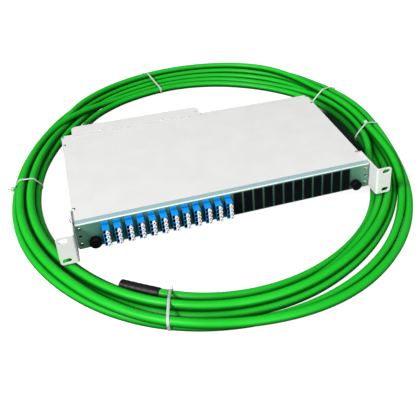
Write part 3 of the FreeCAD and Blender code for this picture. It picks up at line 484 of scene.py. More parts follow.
@dataclass
class TrunkCable:
    """The green trunk cable: out of the gland, down to the floor and round the coil.

    Attributes:
        behind: How far behind an angle a strand's last point may lie, when a section is cut there.
        half_bundle: How far from a section's middle its strands may lie.
        line: Points of the centre line, once it is built.
    """

    plan: CoilPlan
    radius: float = 0.0063
    exit: Point = (-0.180, 0.288, -0.003)
    lead: tuple[Point, ...] = (
        (-0.180, 0.262, -0.003),
        (-0.180, 0.326, -0.003),
        (-0.179, 0.380, -0.020),
        (-0.172, 0.428, -0.036),
        (-0.152, 0.464, -0.0396),
        (-0.120, 0.492, -0.0396),
        (-0.080, 0.517, -0.0396),
    )
    line_steps: int = 8
    ring_steps: int = 5
    behind: float = 20.0
    half_bundle: float = 0.09
    line: Array = field(default_factory=lambda: np.zeros((0, 3)))

    def build(self, material: Material) -> Piece:
        """Make the cable as one NURBS curve, and keep its centre line.

        Args:
            material: The jacket's material.

        Returns:
            The curve object.
        """
        points = np.concatenate([np.array(self.lead), self.plan.turns()])
        data = bpy.data.curves.new("trunk_cable", "CURVE")
        data.dimensions = "3D"
        spline = data.splines.new("NURBS")
        spline.points.add(len(points) - 1)
        spline.points.foreach_set("co", np.c_[points, np.ones(len(points))].ravel())
        spline.order_u = 3
        spline.use_endpoint_u = True
        data.resolution_u = self.line_steps
        piece = new_object("trunk_cable", data)
        self.line = self.read_line(piece)
        data.bevel_depth = self.radius
        data.bevel_resolution = self.ring_steps
        data.use_fill_caps = True
        data.materials.append(material)
        log.info("piece trunk_cable: %d points, %.2f m", len(points), self.length)
        return piece

    @staticmethod
    def read_line(piece: Piece) -> Array:
        """Return the points of a curve that has no bevel, in order.

        Args:
            piece: The curve object.

        Returns:
            Points of shape (n, 3).
        """
        graph = bpy.context.evaluated_depsgraph_get()
        mesh = bpy.data.meshes.new_from_object(piece.evaluated_get(graph))
        flat = np.zeros(len(mesh.vertices) * 3)
        mesh.vertices.foreach_get("co", flat)
        bpy.data.meshes.remove(mesh)
        return flat.reshape(-1, 3)

    @property
    def along(self) -> Array:
        """Distance of each point of the centre line from its start."""
        return np.r_[0.0, np.cumsum(np.linalg.norm(np.diff(self.line, axis=0), axis=1))]

    @property
    def length(self) -> float:
        """Length of the centre line."""
        return float(self.along[-1])

    def section(self, angle: float, skew: float) -> tuple[Array, Array, Array]:
        """Return where the strands cross an upright plane that goes across them.

        The strands at the angle are found first. The plane goes through their middle and is square
        to the mean of their directions, or turned from that by the skew.

        Args:
            angle: Angle about the coil's middle.
            skew: Turn of the plane about its upright middle line, seen from above.

        Returns:
            The plane's own middle on the floor plan, its outward axis, and an array of (distance
            outward, height) of each strand's centre.
        """
        flat = self.line[:, :2] - np.array(self.plan.centre)
        away = (np.degrees(np.arctan2(flat[:, 1], flat[:, 0])) - angle + 180) % 360 - 180
        near = np.nonzero((away[:-1] > 0) & (away[1:] <= 0) & (away[:-1] < self.behind))[0]
        ahead = (self.line[near + 1] - self.line[near])[:, :2].mean(axis=0)
        turn = np.arctan2(ahead[1], ahead[0]) + np.radians(skew)
        ahead = np.array([np.cos(turn), np.sin(turn), 0.0])
        outward = np.array([-ahead[1], ahead[0], 0.0])
        middle = np.array([*self.line[near, :2].mean(axis=0), 0.0])
        past = (self.line - middle) @ ahead
        aside = np.abs((self.line - middle) @ outward)
        hit = np.nonzero((past[:-1] < 0) & (past[1:] >= 0) & (aside[:-1] < self.half_bundle))[0]
        share = (past[hit] / (past[hit] - past[hit + 1]))[:, None]
        spot = self.line[hit] * (1 - share) + self.line[hit + 1] * share
        return middle, outward, np.c_[(spot - middle) @ outward, spot[:, 2]]


@dataclass(frozen=True)
class CableTie:
    """One nylon tie: a band drawn tight round the strands, a head and a cut tail.

    Attributes:
        number: Number of the tie's CAD node.
        angle: Angle about the coil's middle.
        head_at: Direction of the head in the tie's own plane: 0 outward, 90 up, 180 inward.
        tail: How far the cut tail stands out.
        skew: Turn of the tie's plane out of square with the strands.
        band_points: Points along the band, and round its section.
        band_powers: How square the section is across the band and through it.
        head: Half lengths of the head's block.
        head_seat: Share of the head's half height by which its middle clears the band.
    """

    number: int
    angle: float
    head_at: float
    tail: float
    skew: float = 0.0
    width: float = 0.0036
    thickness: float = 0.0010
    clearance: float = 0.00005
    band_points: tuple[int, int] = (144, 16)
    band_powers: Span = (0.3, 0.5)
    head: Point = (0.0034, 0.0030, 0.0026)
    head_seat: float = 0.8
    tail_shift: float = 0.0006
    tail_power: float = 0.15

    def build(self, cable: TrunkCable, material: Material) -> Piece:
        """Make the tie round the strands that the cable has at its angle.

        The band follows the outline p(f) = c(f) + R u(f) of the discs at the strands' centres,
        where u is the direction at angle f and c the centre that lies furthest along it. Its own
        section is a superellipse across and through the band.

        Args:
            cable: The cable that the tie holds.
            material: The tie's material.

        Returns:
            The tie's object.
        """
        middle, outward, centres = cable.section(self.angle, self.skew)
        across = np.cross(UP, outward)
        plane = np.stack([outward, UP])

        f, g = (round_angles(count) for count in self.band_points)
        u = np.c_[np.cos(f), np.sin(f)]
        furthest = centres[np.argmax(u @ centres.T, axis=1)]
        reach = cable.radius + self.thickness / 2 + self.clearance
        spine = middle + (furthest + reach * u) @ plane
        wide = signed_power(np.cos(g), self.band_powers[0]) * self.width / 2
        thick = signed_power(np.sin(g), self.band_powers[1]) * self.thickness / 2
        band = spine[:, None] + (u @ plane)[:, None] * thick[None, :, None] + across * wide[None, :, None]

        lean = np.radians(self.head_at)
        way = np.array([np.cos(lean), np.sin(lean)])
        facing = way @ plane
        climb = np.cross(across, facing)
        axes = np.stack([across, climb, facing])
        seat = middle + centres[np.argmax(centres @ way)] @ plane
        block = seat + facing * (cable.radius + self.thickness + self.head[2] * self.head_seat)
        tail_middle = block + facing * self.tail / 2 + climb * self.tail_shift
        tail_half = (self.width / 2, self.thickness / 2, self.tail / 2)
        parts = [
            (band.reshape(-1, 3), grid_faces(*self.band_points, wrap_rows=True)),
            rounded_block(block, axes, self.head),
            rounded_block(tail_middle, axes, tail_half, self.tail_power),
        ]
        starts = np.cumsum([0, *[len(points) for points, _ in parts]])
        points = np.concatenate([points for points, _ in parts])
        faces = np.concatenate([quads + start for (_, quads), start in zip(parts, starts)])
        return mesh_object(f"tie_{self.number}", points, faces, [material])


@dataclass(frozen=True)
class EndSleeve:
    """The black shrunk sleeve on the cable's free end, closed by a dome."""

    length: float = 0.058
    radius: float = 0.0074
    overhang: float = 0.0022
    shrink: Span = (0.11, 20.0)
    ripple: Span = (0.012, 40.0)
    dome_from: float = 0.955
    tip: float = 0.0004
    rows: int = 72
    cols: int = 36

    def build(self, cable: TrunkCable, material: Material) -> Piece:
        """Make the sleeve along the last stretch of the cable's own line.

        With s from 0 to 1 along it, its radius is R (1 - a exp(-b s) + c sin(d s)) for the shrink's
        a and b and the ripple's c and d. The dome draws it in by sqrt(max(1 - q^2, tip)), where q
        runs from 0 to 1 over the last stretch.

        Args:
            cable: The cable whose end it covers.
            material: The sleeve's material.

        Returns:
            The sleeve's object.
        """
        along = cable.along
        s = np.linspace(0, 1, self.rows)
        wanted = along[-1] - self.length + self.overhang + s * self.length
        spine = np.stack([np.interp(wanted, along, axis) for axis in cable.line.T], -1)
        ahead = cable.line[-1] - cable.line[-2]
        spine += np.maximum(wanted - along[-1], 0)[:, None] * ahead / np.linalg.norm(ahead)
        tangent = np.gradient(spine, axis=0)
        tangent /= np.linalg.norm(tangent, axis=1)[:, None]
        side = np.cross(tangent, UP)
        side /= np.linalg.norm(side, axis=1)[:, None]
        up = np.cross(side, tangent)
        mouth = self.shrink[0] * np.exp(-self.shrink[1] * s)
        waves = self.ripple[0] * np.sin(self.ripple[1] * s)
        q = np.clip((s - self.dome_from) / (1 - self.dome_from), 0, 1)
        radius = self.radius * (1 - mouth + waves) * np.sqrt(np.maximum(1 - q**2, self.tip))
        f = round_angles(self.cols)[None, :, None]
        ring = np.cos(f) * side[:, None] + np.sin(f) * up[:, None]
        points = spine[:, None] + radius[:, None, None] * ring
        return mesh_object("end_sleeve_skin", points, grid_faces(self.rows, self.cols), [material])


@dataclass(frozen=True)
class DustCaps:
    """Soft white caps on the adapters' front sockets: a thick disc on a narrow neck.

    Attributes:
        foot: Heights of the foot and of the slope above it, as shares of the length.
        foot_radii: Outer and inner radius of the foot, as shares of the neck's.
    """

    columns: int = 12
    rows: int = 4
    pitch_x: float = 0.01545
    first_x: float = -0.176275
    pitch_z: float = 0.00625
    middle_z: float = -0.0012
    front: float = 0.0113
    radius: float = 0.0027
    neck: float = 0.0017
    length: float = 0.0050
    head: float = 0.0019
    bore: float = 0.0010
    bore_depth: float = 0.0030
    lip: float = 0.0003
    rim: float = 0.0007
    foot: Span = (0.10, 0.16)
    foot_radii: Span = (1.25, 0.6)
    arc_points: int = 6
    round_points: int = 28

    def profile(self) -> tuple[Array, Array]:
        """Return the cap's outline, from the bottom of its bore over the disc to its foot.

        Returns:
            Points (radius, height), and which spans between them lie in the bore.
        """
        a = np.linspace(0, np.pi / 2, self.arc_points)
        rise, fall = np.sin(a), np.cos(a)
        bottom, under_head = self.length - self.bore_depth, self.length - self.head
        edge = self.radius - self.rim
        bore = np.array([[0.0, bottom], [self.bore, bottom]])
        lip = np.c_[self.bore + self.lip * (1 - fall), self.length - self.lip + self.lip * rise]
        crown = np.c_[edge + self.rim * rise, self.length - self.rim + self.rim * fall]
        under = np.c_[edge + self.rim * fall, under_head + self.rim * (1 - rise)]
        outer, inner = (self.neck * share for share in self.foot_radii)
        low, high = (self.length * share for share in self.foot)
        neck = [[self.neck, under_head], [self.neck, high]]
        skirt = np.array([*neck, [outer, low], [outer, 0.0], [inner, 0.0]])
        outline = np.concatenate([bore, lip, crown, under, skirt])
        return outline, np.arange(len(outline) - 1) < len(bore)

    def build(self, material: Material, bore_shade_material: Material) -> Piece:
        """Turn the outline about each socket's axis.

        A point is (x + r cos f, y - h, z + r sin f) for the outline's (r, h).

        Args:
            material: Material of the caps.
            bore_shade_material: Material of their bores, dark with painted shade.

        Returns:
            One object with every cap.
        """
        outline, inside = self.profile()
        f = round_angles(self.round_points)
        x = self.first_x + self.pitch_x * np.arange(self.columns)
        z = self.middle_z + self.pitch_z * (np.arange(self.rows) - (self.rows - 1) / 2)
        cx, cz = (axis.reshape(-1, 1, 1) for axis in np.meshgrid(x, z, indexing="ij"))
        r, h = outline[None, :, 0, None], outline[None, :, 1, None]
        spots = (cx + r * np.cos(f), self.front - h, cz + r * np.sin(f))
        points = np.stack(np.broadcast_arrays(*spots), -1)
        starts = np.arange(len(cx))[:, None, None] * len(outline) * self.round_points
        faces = (grid_faces(len(outline), self.round_points)[None] + starts).reshape(-1, 4)
        slots = np.tile(np.repeat(inside, self.round_points), len(cx))
        return mesh_object("dust_cap_set", points, faces, [material, bore_shade_material], slots)


# Shader nodes


class Nodes:
    """Adds nodes to a tree, with their inputs set or linked in the same call."""

    def __init__(self, tree: bpy.types.NodeTree) -> None:
        """Keep the tree that the nodes go into."""
        self.tree = tree

    def add(self, kind: str, inputs: dict[Any, Any] | None = None, **options: Any) -> bpy.types.Node:
        """Add one node.

        Args:
            kind: The node's type name.
            inputs: Values or sockets, by input name or number.
            options: The node's own properties.

        Returns:
            The node.
        """
        node = self.tree.nodes.new(kind)
        for name, value in options.items():
            setattr(node, name, value)
        for key, value in (inputs or {}).items():
            self.feed(node.inputs[key], value)
        return node

    def feed(self, socket: Socket, value: Any) -> None:
        """Link a socket into an input, or set the input's own value.

        Args:
            socket: The input.
            value: A socket, a number, a vector or a colour.
        """
        if isinstance(value, Socket):
            self.tree.links.new(value, socket)
        elif socket.type == "RGBA" and len(value) == 3:
            socket.default_value = (*value, 1.0)
        else:
            socket.default_value = value

    def group(self, effect: Effect, inputs: dict[Any, Any] | None = None) -> bpy.types.Node:
        """Add one of the shared effects."""
        return self.add("ShaderNodeGroup", inputs, node_tree=bpy.data.node_groups[effect.value])

    def mix(self, factor: Any, a: Any, b: Any, blend: str = "MIX") -> Socket:
        """Return the mix of two colours.

        Args:
            factor: How much of the second colour there is.
            a: The first colour.
            b: The second colour.
            blend: How the second goes onto the first.

        Returns:
            The mixed colour.
        """
        node = self.add("ShaderNodeMix", data_type="RGBA", blend_type=blend)
        for index, value in ((0, factor), (6, a), (7, b)):
            self.feed(node.inputs[index], value)
        return node.outputs[2]

    def math(self, operation: str, a: Any, b: Any = 0.0) -> Socket:
        """Return the result of one arithmetic operation."""
        return self.add("ShaderNodeMath", {0: a, 1: b}, operation=operation).outputs[0]

    def product(self, *values: Any) -> Socket:
        """Return the product of all the values."""
        return reduce(lambda a, b: self.math("MULTIPLY", a, b), values)

    def rest(self, value: Any) -> Socket:
        """Return 1 less the value."""
        return self.math("SUBTRACT", 1.0, value)

    def remap(self, value: Any, span: Span, to: Span = (0.0, 1.0), ease: str = "LINEAR") -> Socket:
        """Return a value carried from one span to another, kept within it."""
        ends = {"Value": value, "From Min": span[0], "From Max": span[1], "To Min": to[0], "To Max": to[1]}
        return self.add("ShaderNodeMapRange", ends, interpolation_type=ease).outputs[0]

    def fade(self, value: Any, span: Span) -> Socket:
        """Return how far a value has gone along a span, from 0 to 1, eased at both ends."""
        return self.remap(value, span, ease="SMOOTHSTEP")

    def spot(self) -> Socket:
        """Return the place on the object."""
        return self.add("ShaderNodeTexCoord").outputs["Object"]

    def axes(self, vector: Socket) -> Sequence[Socket]:
        """Return a vector's X, Y and Z."""
        return self.add("ShaderNodeSeparateXYZ", {0: vector}).outputs

    def normal(self) -> Socket:
        """Return the surface's own normal."""
        return self.add("ShaderNodeNewGeometry").outputs["Normal"]

    def openness(self, reach: float) -> Socket:
        """Return how open the surface is to what lies within reach, from 0 to 1."""
        return self.add("ShaderNodeAmbientOcclusion", {"Distance": reach}, samples=6).outputs["AO"]


def new_group(
    effect: Effect, inputs: Sequence[tuple[str, str]], outputs: Sequence[tuple[str, str]]
) -> tuple[Nodes, bpy.types.Node, bpy.types.Node]:
    """Make an empty node group.

    Args:
        effect: The effect that it holds.
        inputs: Name and kind of each input.
        outputs: Name and kind of each output.

    Returns:
        A Nodes helper for the group, its input node and its output node.
    """
    group = bpy.data.node_groups.new(effect.value, "ShaderNodeTree")
    for way, sockets in (("INPUT", inputs), ("OUTPUT", outputs)):
        for label, kind in sockets:
            group.interface.new_socket(name=label, in_out=way, socket_type=f"NodeSocket{kind}")
    nodes = Nodes(group)
    return nodes, nodes.add("NodeGroupInput"), nodes.add("NodeGroupOutput")


def fresh_nodes(owner: Material | bpy.types.World) -> Nodes:
    """Empty the node tree of a material or a world.

    Args:
        owner: The material or the world.

    Returns:
        A Nodes helper for its tree.
    """
    owner.use_nodes = True
    owner.node_tree.nodes.clear()
    return Nodes(owner.node_tree)


@dataclass(frozen=True)
class GrainEffect:
    """Patches of colour, a fine grain in the normal, soft edges with a painted highlight, and painted shade
    in hollows.

    Attributes:
        edge_span: Cosines of the softened edge with the plain face, from no painted highlight to a full one.
        hollow_span: Openness from no painted shade to full painted shade.
    """

    patch_span: Span = (0.36, 0.66)
    grain_depth: float = 0.0003
    rough_span: Span = (0.3, 0.7)
    rough_swing: float = 0.06
    edge_span: Span = (0.995, 0.8)
    edge_share: float = 0.6
    hollow_reach: float = 0.012
    hollow_span: Span = (0.85, 0.25)

    def build(self) -> None:
        """Make the node group."""
        nodes, source, sink = new_group(
            Effect.GRAIN,
            [*[(label, "Color") for label in GRAIN_COLOURS], *[(label, "Float") for label in GRAIN_NUMBERS]],
            (("Colour", "Color"), ("Roughness", "Float"), ("Normal", "Vector")),
        )
        get = source.outputs
        spot = nodes.spot()
        noise = "ShaderNodeTexNoise"
        patch = nodes.add(noise, {"Vector": spot, "Scale": get["Patch Scale"], "Detail": 4.0}).outputs[0]
        grain = nodes.add(noise, {"Vector": spot, "Scale": get["Grain Scale"], "Detail": 2.0}).outputs[0]
        soft = nodes.add("ShaderNodeBevel", {"Radius": get["Edge Radius"]}, samples=4).outputs[0]
        dot = nodes.add("ShaderNodeVectorMath", {0: soft, 1: nodes.normal()}, operation="DOT_PRODUCT")
        # Painted highlight: softened edges go towards the lighter edge colour.
        edge = nodes.product(nodes.remap(dot.outputs["Value"], self.edge_span), self.edge_share)
        # Painted shade: the colour goes towards black where the surface is closed in.
        shade = nodes.product(nodes.remap(nodes.openness(self.hollow_reach), self.hollow_span), get["Hollow"])
        colour = nodes.mix(nodes.remap(patch, self.patch_span), get["Colour"], get["Patch Colour"])
        colour = nodes.mix(edge, colour, get["Edge Highlight"])
        relief = {"Height": grain, "Strength": get["Relief"], "Distance": self.grain_depth, "Normal": soft}
        swing = nodes.remap(grain, self.rough_span, (-self.rough_swing, self.rough_swing))
        nodes.feed(sink.inputs["Colour"], nodes.mix(shade, colour, BLACK))
        nodes.feed(sink.inputs["Roughness"], nodes.math("ADD", get["Roughness"], swing))
        nodes.feed(sink.inputs["Normal"], nodes.add("ShaderNodeBump", relief).outputs[0])


@dataclass(frozen=True)
class SpangleEffect:
    """The flat crystals of a zinc coat: a shade for each cell."""

    def build(self) -> None:
        """Make the node group, whose shade is 1 - depth * t for a random t of each cell."""
        sizes = (("Scale", "Float"), ("Depth", "Float"))
        nodes, source, sink = new_group(Effect.SPANGLE, sizes, (("Shade", "Float"),))
        cell = nodes.add("ShaderNodeTexVoronoi", {"Vector": nodes.spot(), "Scale": source.outputs["Scale"]})
        tone = nodes.add("ShaderNodeSeparateColor", {0: cell.outputs["Color"]}).outputs[0]
        nodes.feed(sink.inputs["Shade"], nodes.rest(nodes.product(tone, source.outputs["Depth"])))


@dataclass(frozen=True)
class ShadeEffect:
    """The shade beside the chassis, on the side away from the key light.

    Each span goes from no shade to full shade: outward past the chassis' side wall and inward from
    the coil along X, and inward from the front and from the rear along Y.
    """

    wall_x: Span = (0.16, 0.24)
    coil_x: Span = (0.325, 0.298)
    front_y: Span = (0.03, 0.16)
    rear_y: Span = (0.40, 0.32)

    def build(self) -> None:
        """Make the node group, whose shade is the product of the four fades."""
        nodes, _, sink = new_group(Effect.SHADE, (), (("Shade", "Float"),))
        x, y, _ = nodes.axes(nodes.spot())
        beside = nodes.product(nodes.fade(x, self.wall_x), nodes.fade(x, self.coil_x))
        along = nodes.product(nodes.fade(y, self.front_y), nodes.fade(y, self.rear_y))
        nodes.feed(sink.inputs["Shade"], nodes.product(beside, along))


# Finishes


@dataclass(frozen=True)
class Finish:
    """A finish made of the shared grain with its painted edge highlight and painted shade, on one Principled
    surface; its fields name the grain's inputs.
    """

    name: str
    colour: Colour
    patch_colour: Colour
    # Painted highlight colour of the softened edges.
    edge_highlight: Colour
    roughness: float = 0.5
    metallic: float = 0.0
    patch_scale: float = 30.0
    grain_scale: float = 900.0
    relief: float = 0.2
    edge_radius: float = 0.0004
    # Share of painted shade in the hollows.
    hollow: float = 0.35
    alpha: float = 1.0
    specular: float = 0.5

    def tint(self, nodes: Nodes, colour: Socket) -> Socket:
        """Return the colour with what this finish adds to the grain's own."""
        return colour

    def build(self) -> Material:
        """Make the material.

        Returns:
            The material.
        """
        material = bpy.data.materials.new(self.name)
        nodes = fresh_nodes(material)
        labels = (*GRAIN_COLOURS, *GRAIN_NUMBERS)
        inputs = {label: getattr(self, label.lower().replace(" ", "_")) for label in labels}
        grain = nodes.group(Effect.GRAIN, inputs)
        surface = nodes.add(
            "ShaderNodeBsdfPrincipled",
            {
                "Base Color": self.tint(nodes, grain.outputs["Colour"]),
                "Roughness": grain.outputs["Roughness"],
                "Normal": grain.outputs["Normal"],
                "Metallic": self.metallic,
                "Alpha": self.alpha,
                "Specular IOR Level": self.specular,
            },
        )
        nodes.add("ShaderNodeOutputMaterial", {"Surface": surface.outputs[0]})
        material.diffuse_color = (*self.colour, 1.0)
        log.info("finish %s", self.name)
        return material


@dataclass(frozen=True)
class PanelFinish(Finish):
    """Satin anodised sheet: long rolling streaks, paler ends, a painted sheen at the top, and a painted
    reflection and a painted highlight on the turned-back edge.

    The streaks, the panel's top and its ends grow pale over their spans, by their shares. The
    fold and the flat upper face are found by the upward part of the normal; the fold takes the
    painted highlight and the face the painted reflection.
    """

    # Painted reflection on the flat upper face.
    top_reflection: Colour = (0.43, 0.65, 0.67)
    # Paler colour of the streaks, of the ends and of the painted sheen at the top.
    pale: Colour = (0.20, 0.40, 0.30)
    # Painted highlight along the fold.
    bend_highlight: Colour = (0.90, 0.95, 0.96)
    streak_scale: Point = (6.0, 900.0, 900.0)
    streak_span: Span = (0.35, 0.7)
    # Heights over which the painted sheen grows towards the top.
    sheen_z: Span = (-0.012, 0.017)
    end_x: Span = (0.185, 0.212)
    streak_share: float = 0.22
    sheen_share: float = 0.4
    end_share: float = 0.45
    flat_up: Span = (0.93, 0.97)
    bend_up: Span = (0.45, 0.65)

    def tint(self, nodes: Nodes, colour: Socket) -> Socket:
        """Return the colour with streaks along X, pale ends, a painted sheen on top and painted light on the
        turned-back edge.

        Args:
            nodes: The material's nodes.
            colour: The grain's colour.

        Returns:
            The tinted colour.
        """
        spot = nodes.spot()
        x, _, z = nodes.axes(spot)
        stretched = nodes.add("ShaderNodeVectorMath", {0: spot, 1: self.streak_scale}, operation="MULTIPLY")
        noise = {"Vector": stretched.outputs[0], "Scale": 1.0, "Detail": 3.0}
        streak = nodes.add("ShaderNodeTexNoise", noise).outputs[0]
        # Streaks along X, a painted sheen towards the top and paler ends.
        for value, span, share in (
            (streak, self.streak_span, self.streak_share),
            (z, self.sheen_z, self.sheen_share),
            (nodes.math("ABSOLUTE", x), self.end_x, self.end_share),
        ):
            colour = nodes.mix(nodes.remap(value, span, (0.0, share)), colour, self.pale)
        # Painted reflection on the flat upper face and painted highlight along the fold, by the upward part
        # of the normal.
        upward = nodes.axes(nodes.normal())[2]
        colour = nodes.mix(nodes.remap(upward, self.flat_up), colour, self.top_reflection)
        bend_highlight_mask = nodes.product(nodes.remap(upward, self.bend_up), nodes.remap(upward, self.flat_up[::-1]))
        return nodes.mix(bend_highlight_mask, colour, self.bend_highlight)


@dataclass(frozen=True)
class AdapterFinish(Finish):
    """Bright adapter plastic with black painted shade inside its front sockets.

    A point is in a front socket when it lies behind the front face, nearer to its adapter's middle
    than the side walls, and between the top and bottom walls. The way to the nearest middle is the
    remainder of x - first by the pitch, taken between minus and plus half a pitch.
    """

    first_x: float = -0.177675
    pitch: float = 0.01545
    half_width: float = 0.0043
    half_height: float = 0.0122
    middle_z: float = -0.0012
    front: float = 0.0113
    mouth: Span = (0.0002, 0.0008)
    depth: float = 0.0095
    # Colour of the painted shade inside the front sockets.
    inside: Colour = (0.001, 0.001, 0.002)

    def tint(self, nodes: Nodes, colour: Socket) -> Socket:
        """Return the colour, with black painted shade within the front sockets.

        Args:
            nodes: The material's nodes.
            colour: The grain's colour.

        Returns:
            The tinted colour.
        """
        x, y, z = nodes.axes(nodes.spot())
        start = nodes.math("SUBTRACT", x, self.first_x - self.pitch / 2)
        aside = nodes.math("SUBTRACT", nodes.math("FLOORED_MODULO", start, self.pitch), self.pitch / 2)
        high = nodes.math("SUBTRACT", z, self.middle_z)
        mouth = (self.front + self.mouth[0], self.front + self.mouth[1])
        # Painted shade: black where a point lies inside a front socket.
        socket_shade = nodes.product(
            nodes.math("LESS_THAN", nodes.math("ABSOLUTE", aside), self.half_width),
            nodes.math("LESS_THAN", nodes.math("ABSOLUTE", high), self.half_height),
            nodes.remap(y, mouth),
            nodes.math("LESS_THAN", y, self.front + self.depth),
        )
        return nodes.mix(socket_shade, colour, self.inside)


@dataclass(frozen=True)
class JacketFinish(Finish):
    """Smooth cable jacket with painted shade towards its underside, between its turns and beside the chassis.

    Attributes:
        turn_up: Upward parts of the normal, from full painted shade on the underside to none on the top.
        reach: How far a neighbour may stand off and still darken the jacket.
        hemmed: How light it is where it is hemmed in, under painted shade.
        shaded: How dark the painted shade beside the chassis makes the low strands.
        shade_z: Heights from out of that shade to wholly in it.
    """

    # Colour of the painted shade.
    under: Colour = (0.002, 0.10, 0.005)
    turn_up: Span = (-0.25, 0.5)
    reach: float = 0.05
    room_span: Span = (0.30, 0.72)
    hemmed: float = 0.1
    shaded: float = 0.8
    shade_z: Span = (-0.022, -0.032)

    def tint(self, nodes: Nodes, colour: Socket) -> Socket:
        """Return the colour, drawn to the under colour where painted shade falls.

        Args:
            nodes: The material's nodes.
            colour: The grain's colour.

        Returns:
            The tinted colour.
        """
        # Painted shade: towards the underside, where neighbours hem the jacket in, and on low strands beside
        # the chassis.
        top = nodes.remap(nodes.axes(nodes.normal())[2], self.turn_up)
        free = nodes.remap(nodes.openness(self.reach), self.room_span, (self.hemmed, 1.0))
        low = nodes.fade(nodes.axes(nodes.spot())[2], self.shade_z)
        shade = nodes.product(nodes.group(Effect.SHADE).outputs["Shade"], low, self.shaded)
        return nodes.mix(nodes.product(top, free, nodes.rest(shade)), self.under, colour)


@dataclass(frozen=True)
class ZincFinish(Finish):
    """Zinc-coated sheet with flat crystals."""

    cell_scale: float = 140.0
    cell_depth: float = 0.25

    def tint(self, nodes: Nodes, colour: Socket) -> Socket:
        """Return the colour darkened by each crystal's shade.

        Args:
            nodes: The material's nodes.
            colour: The grain's colour.

        Returns:
            The tinted colour.
        """
        cells = nodes.group(Effect.SPANGLE, {"Scale": self.cell_scale, "Depth": self.cell_depth})
        grey = nodes.add("ShaderNodeCombineColor", {channel: cells.outputs["Shade"] for channel in range(3)})
        return nodes.mix(1.0, colour, grey.outputs[0], "MULTIPLY")


FINISHES: dict[str, Finish] = {
    Slot.CHASSIS.value: Finish(
        "powder_coat", (0.80, 0.80, 0.785), (0.77, 0.77, 0.755), (0.88, 0.88, 0.87), 0.55,
        grain_scale=1400.0, relief=0.25, hollow=0.15, specular=0.3
    ),
    Slot.PANEL.value: PanelFinish(
        "anodised_panel", (0.045, 0.195, 0.112), (0.030, 0.150, 0.082), (0.58, 0.72, 0.69), 0.38,
        metallic=0.25, patch_scale=18.0, grain_scale=2200.0, relief=0.12, edge_radius=0.0006, hollow=0.95,
        specular=0.4
    ),
    Slot.TRAY.value: ZincFinish(
        "zinc_sheet", (0.62, 0.64, 0.66), (0.55, 0.57, 0.59), (0.75, 0.76, 0.78), 0.36, metallic=0.9
    ),
    Slot.STEEL.value: Finish(
        "plated_steel", (0.60, 0.60, 0.58), (0.52, 0.52, 0.51), (0.82, 0.82, 0.81), 0.28,
        metallic=1.0, grain_scale=2500.0
    ),
    Slot.ADAPTER.value: AdapterFinish(
        "adapter_plastic", (0.0, 0.36, 0.98), (0.0, 0.31, 0.90), (0.05, 0.55, 1.0), 0.36,
        patch_scale=60.0, grain_scale=3000.0, relief=0.1, edge_radius=0.0003, hollow=0.95, specular=0.3
    ),
    Slot.CAP.value: Finish(
        "cap_plastic", (0.86, 0.87, 0.87), (0.80, 0.81, 0.82), (0.93, 0.93, 0.93), 0.42,
        patch_scale=200.0, grain_scale=4000.0, relief=0.08, edge_radius=0.0002, specular=0.3
    ),
    # Dark painted shade in the dust caps' bores.
    Extra.BORE_SHADE.value: Finish(
        "cap_bore", (0.16, 0.085, 0.06), (0.11, 0.06, 0.045), (0.20, 0.12, 0.09), 0.7,
        grain_scale=4000.0, specular=0.1
    ),
    Slot.CONNECTOR.value: Finish(
        "connector_plastic", (0.01, 0.17, 0.62), (0.008, 0.14, 0.52), (0.06, 0.3, 0.8), 0.4,
        patch_scale=80.0
    ),
    Slot.BLANK.value: Finish(
        "blank_plastic", (0.002, 0.003, 0.005), (0.004, 0.005, 0.007), (0.06, 0.07, 0.085), 0.42,
        patch_scale=50.0, grain_scale=2600.0, relief=0.3, specular=0.10
    ),
    Slot.KNOB.value: Finish(
        "knob_plastic", (0.002, 0.002, 0.003), (0.004, 0.004, 0.005), (0.03, 0.03, 0.035), 0.45,
        grain_scale=3200.0, relief=0.3, specular=0.12
    ),
    Slot.SPOOL.value: Finish(
        "spool_plastic", (0.74, 0.74, 0.72), (0.68, 0.68, 0.66), (0.84, 0.84, 0.82), 0.45
    ),
    Slot.GLAND.value: Finish(
        "gland_plastic", (0.008, 0.008, 0.009), (0.012, 0.012, 0.013), (0.05, 0.05, 0.05), 0.48,
        relief=0.3, specular=0.25
    ),
    Slot.CABLE.value: JacketFinish(
        "cable_jacket", (0.010, 0.52, 0.022), (0.008, 0.46, 0.018), (0.012, 0.52, 0.024), 0.42,
        patch_scale=14.0, grain_scale=700.0, relief=0.06, edge_radius=0.0, hollow=0.85, specular=0.18
    ),
    Slot.SLEEVE.value: Finish(
        "shrink_sleeve", (0.006, 0.006, 0.007), (0.010, 0.010, 0.011), (0.02, 0.02, 0.02), 0.45,
        grain_scale=1200.0, relief=0.4, specular=0.25
    ),
    Slot.TIE.value: Finish(
        "tie_nylon", (0.80, 0.83, 0.81), (0.74, 0.78, 0.75), (0.9, 0.9, 0.9), 0.35,
        grain_scale=1800.0, edge_radius=0.0002, hollow=0.1, alpha=0.7
    ),
}
# The rear plate's paint is the chassis paint with deeper painted shade in its hollows.
FINISHES[Extra.PLATE.value] = replace(FINISHES[Slot.CHASSIS.value], name=Extra.PLATE.value, hollow=0.5)

# The rear plate and its rivets are painted together
PLATE_NODES = frozenset({"rear_cable_plate", "rear_plate_rivets"})


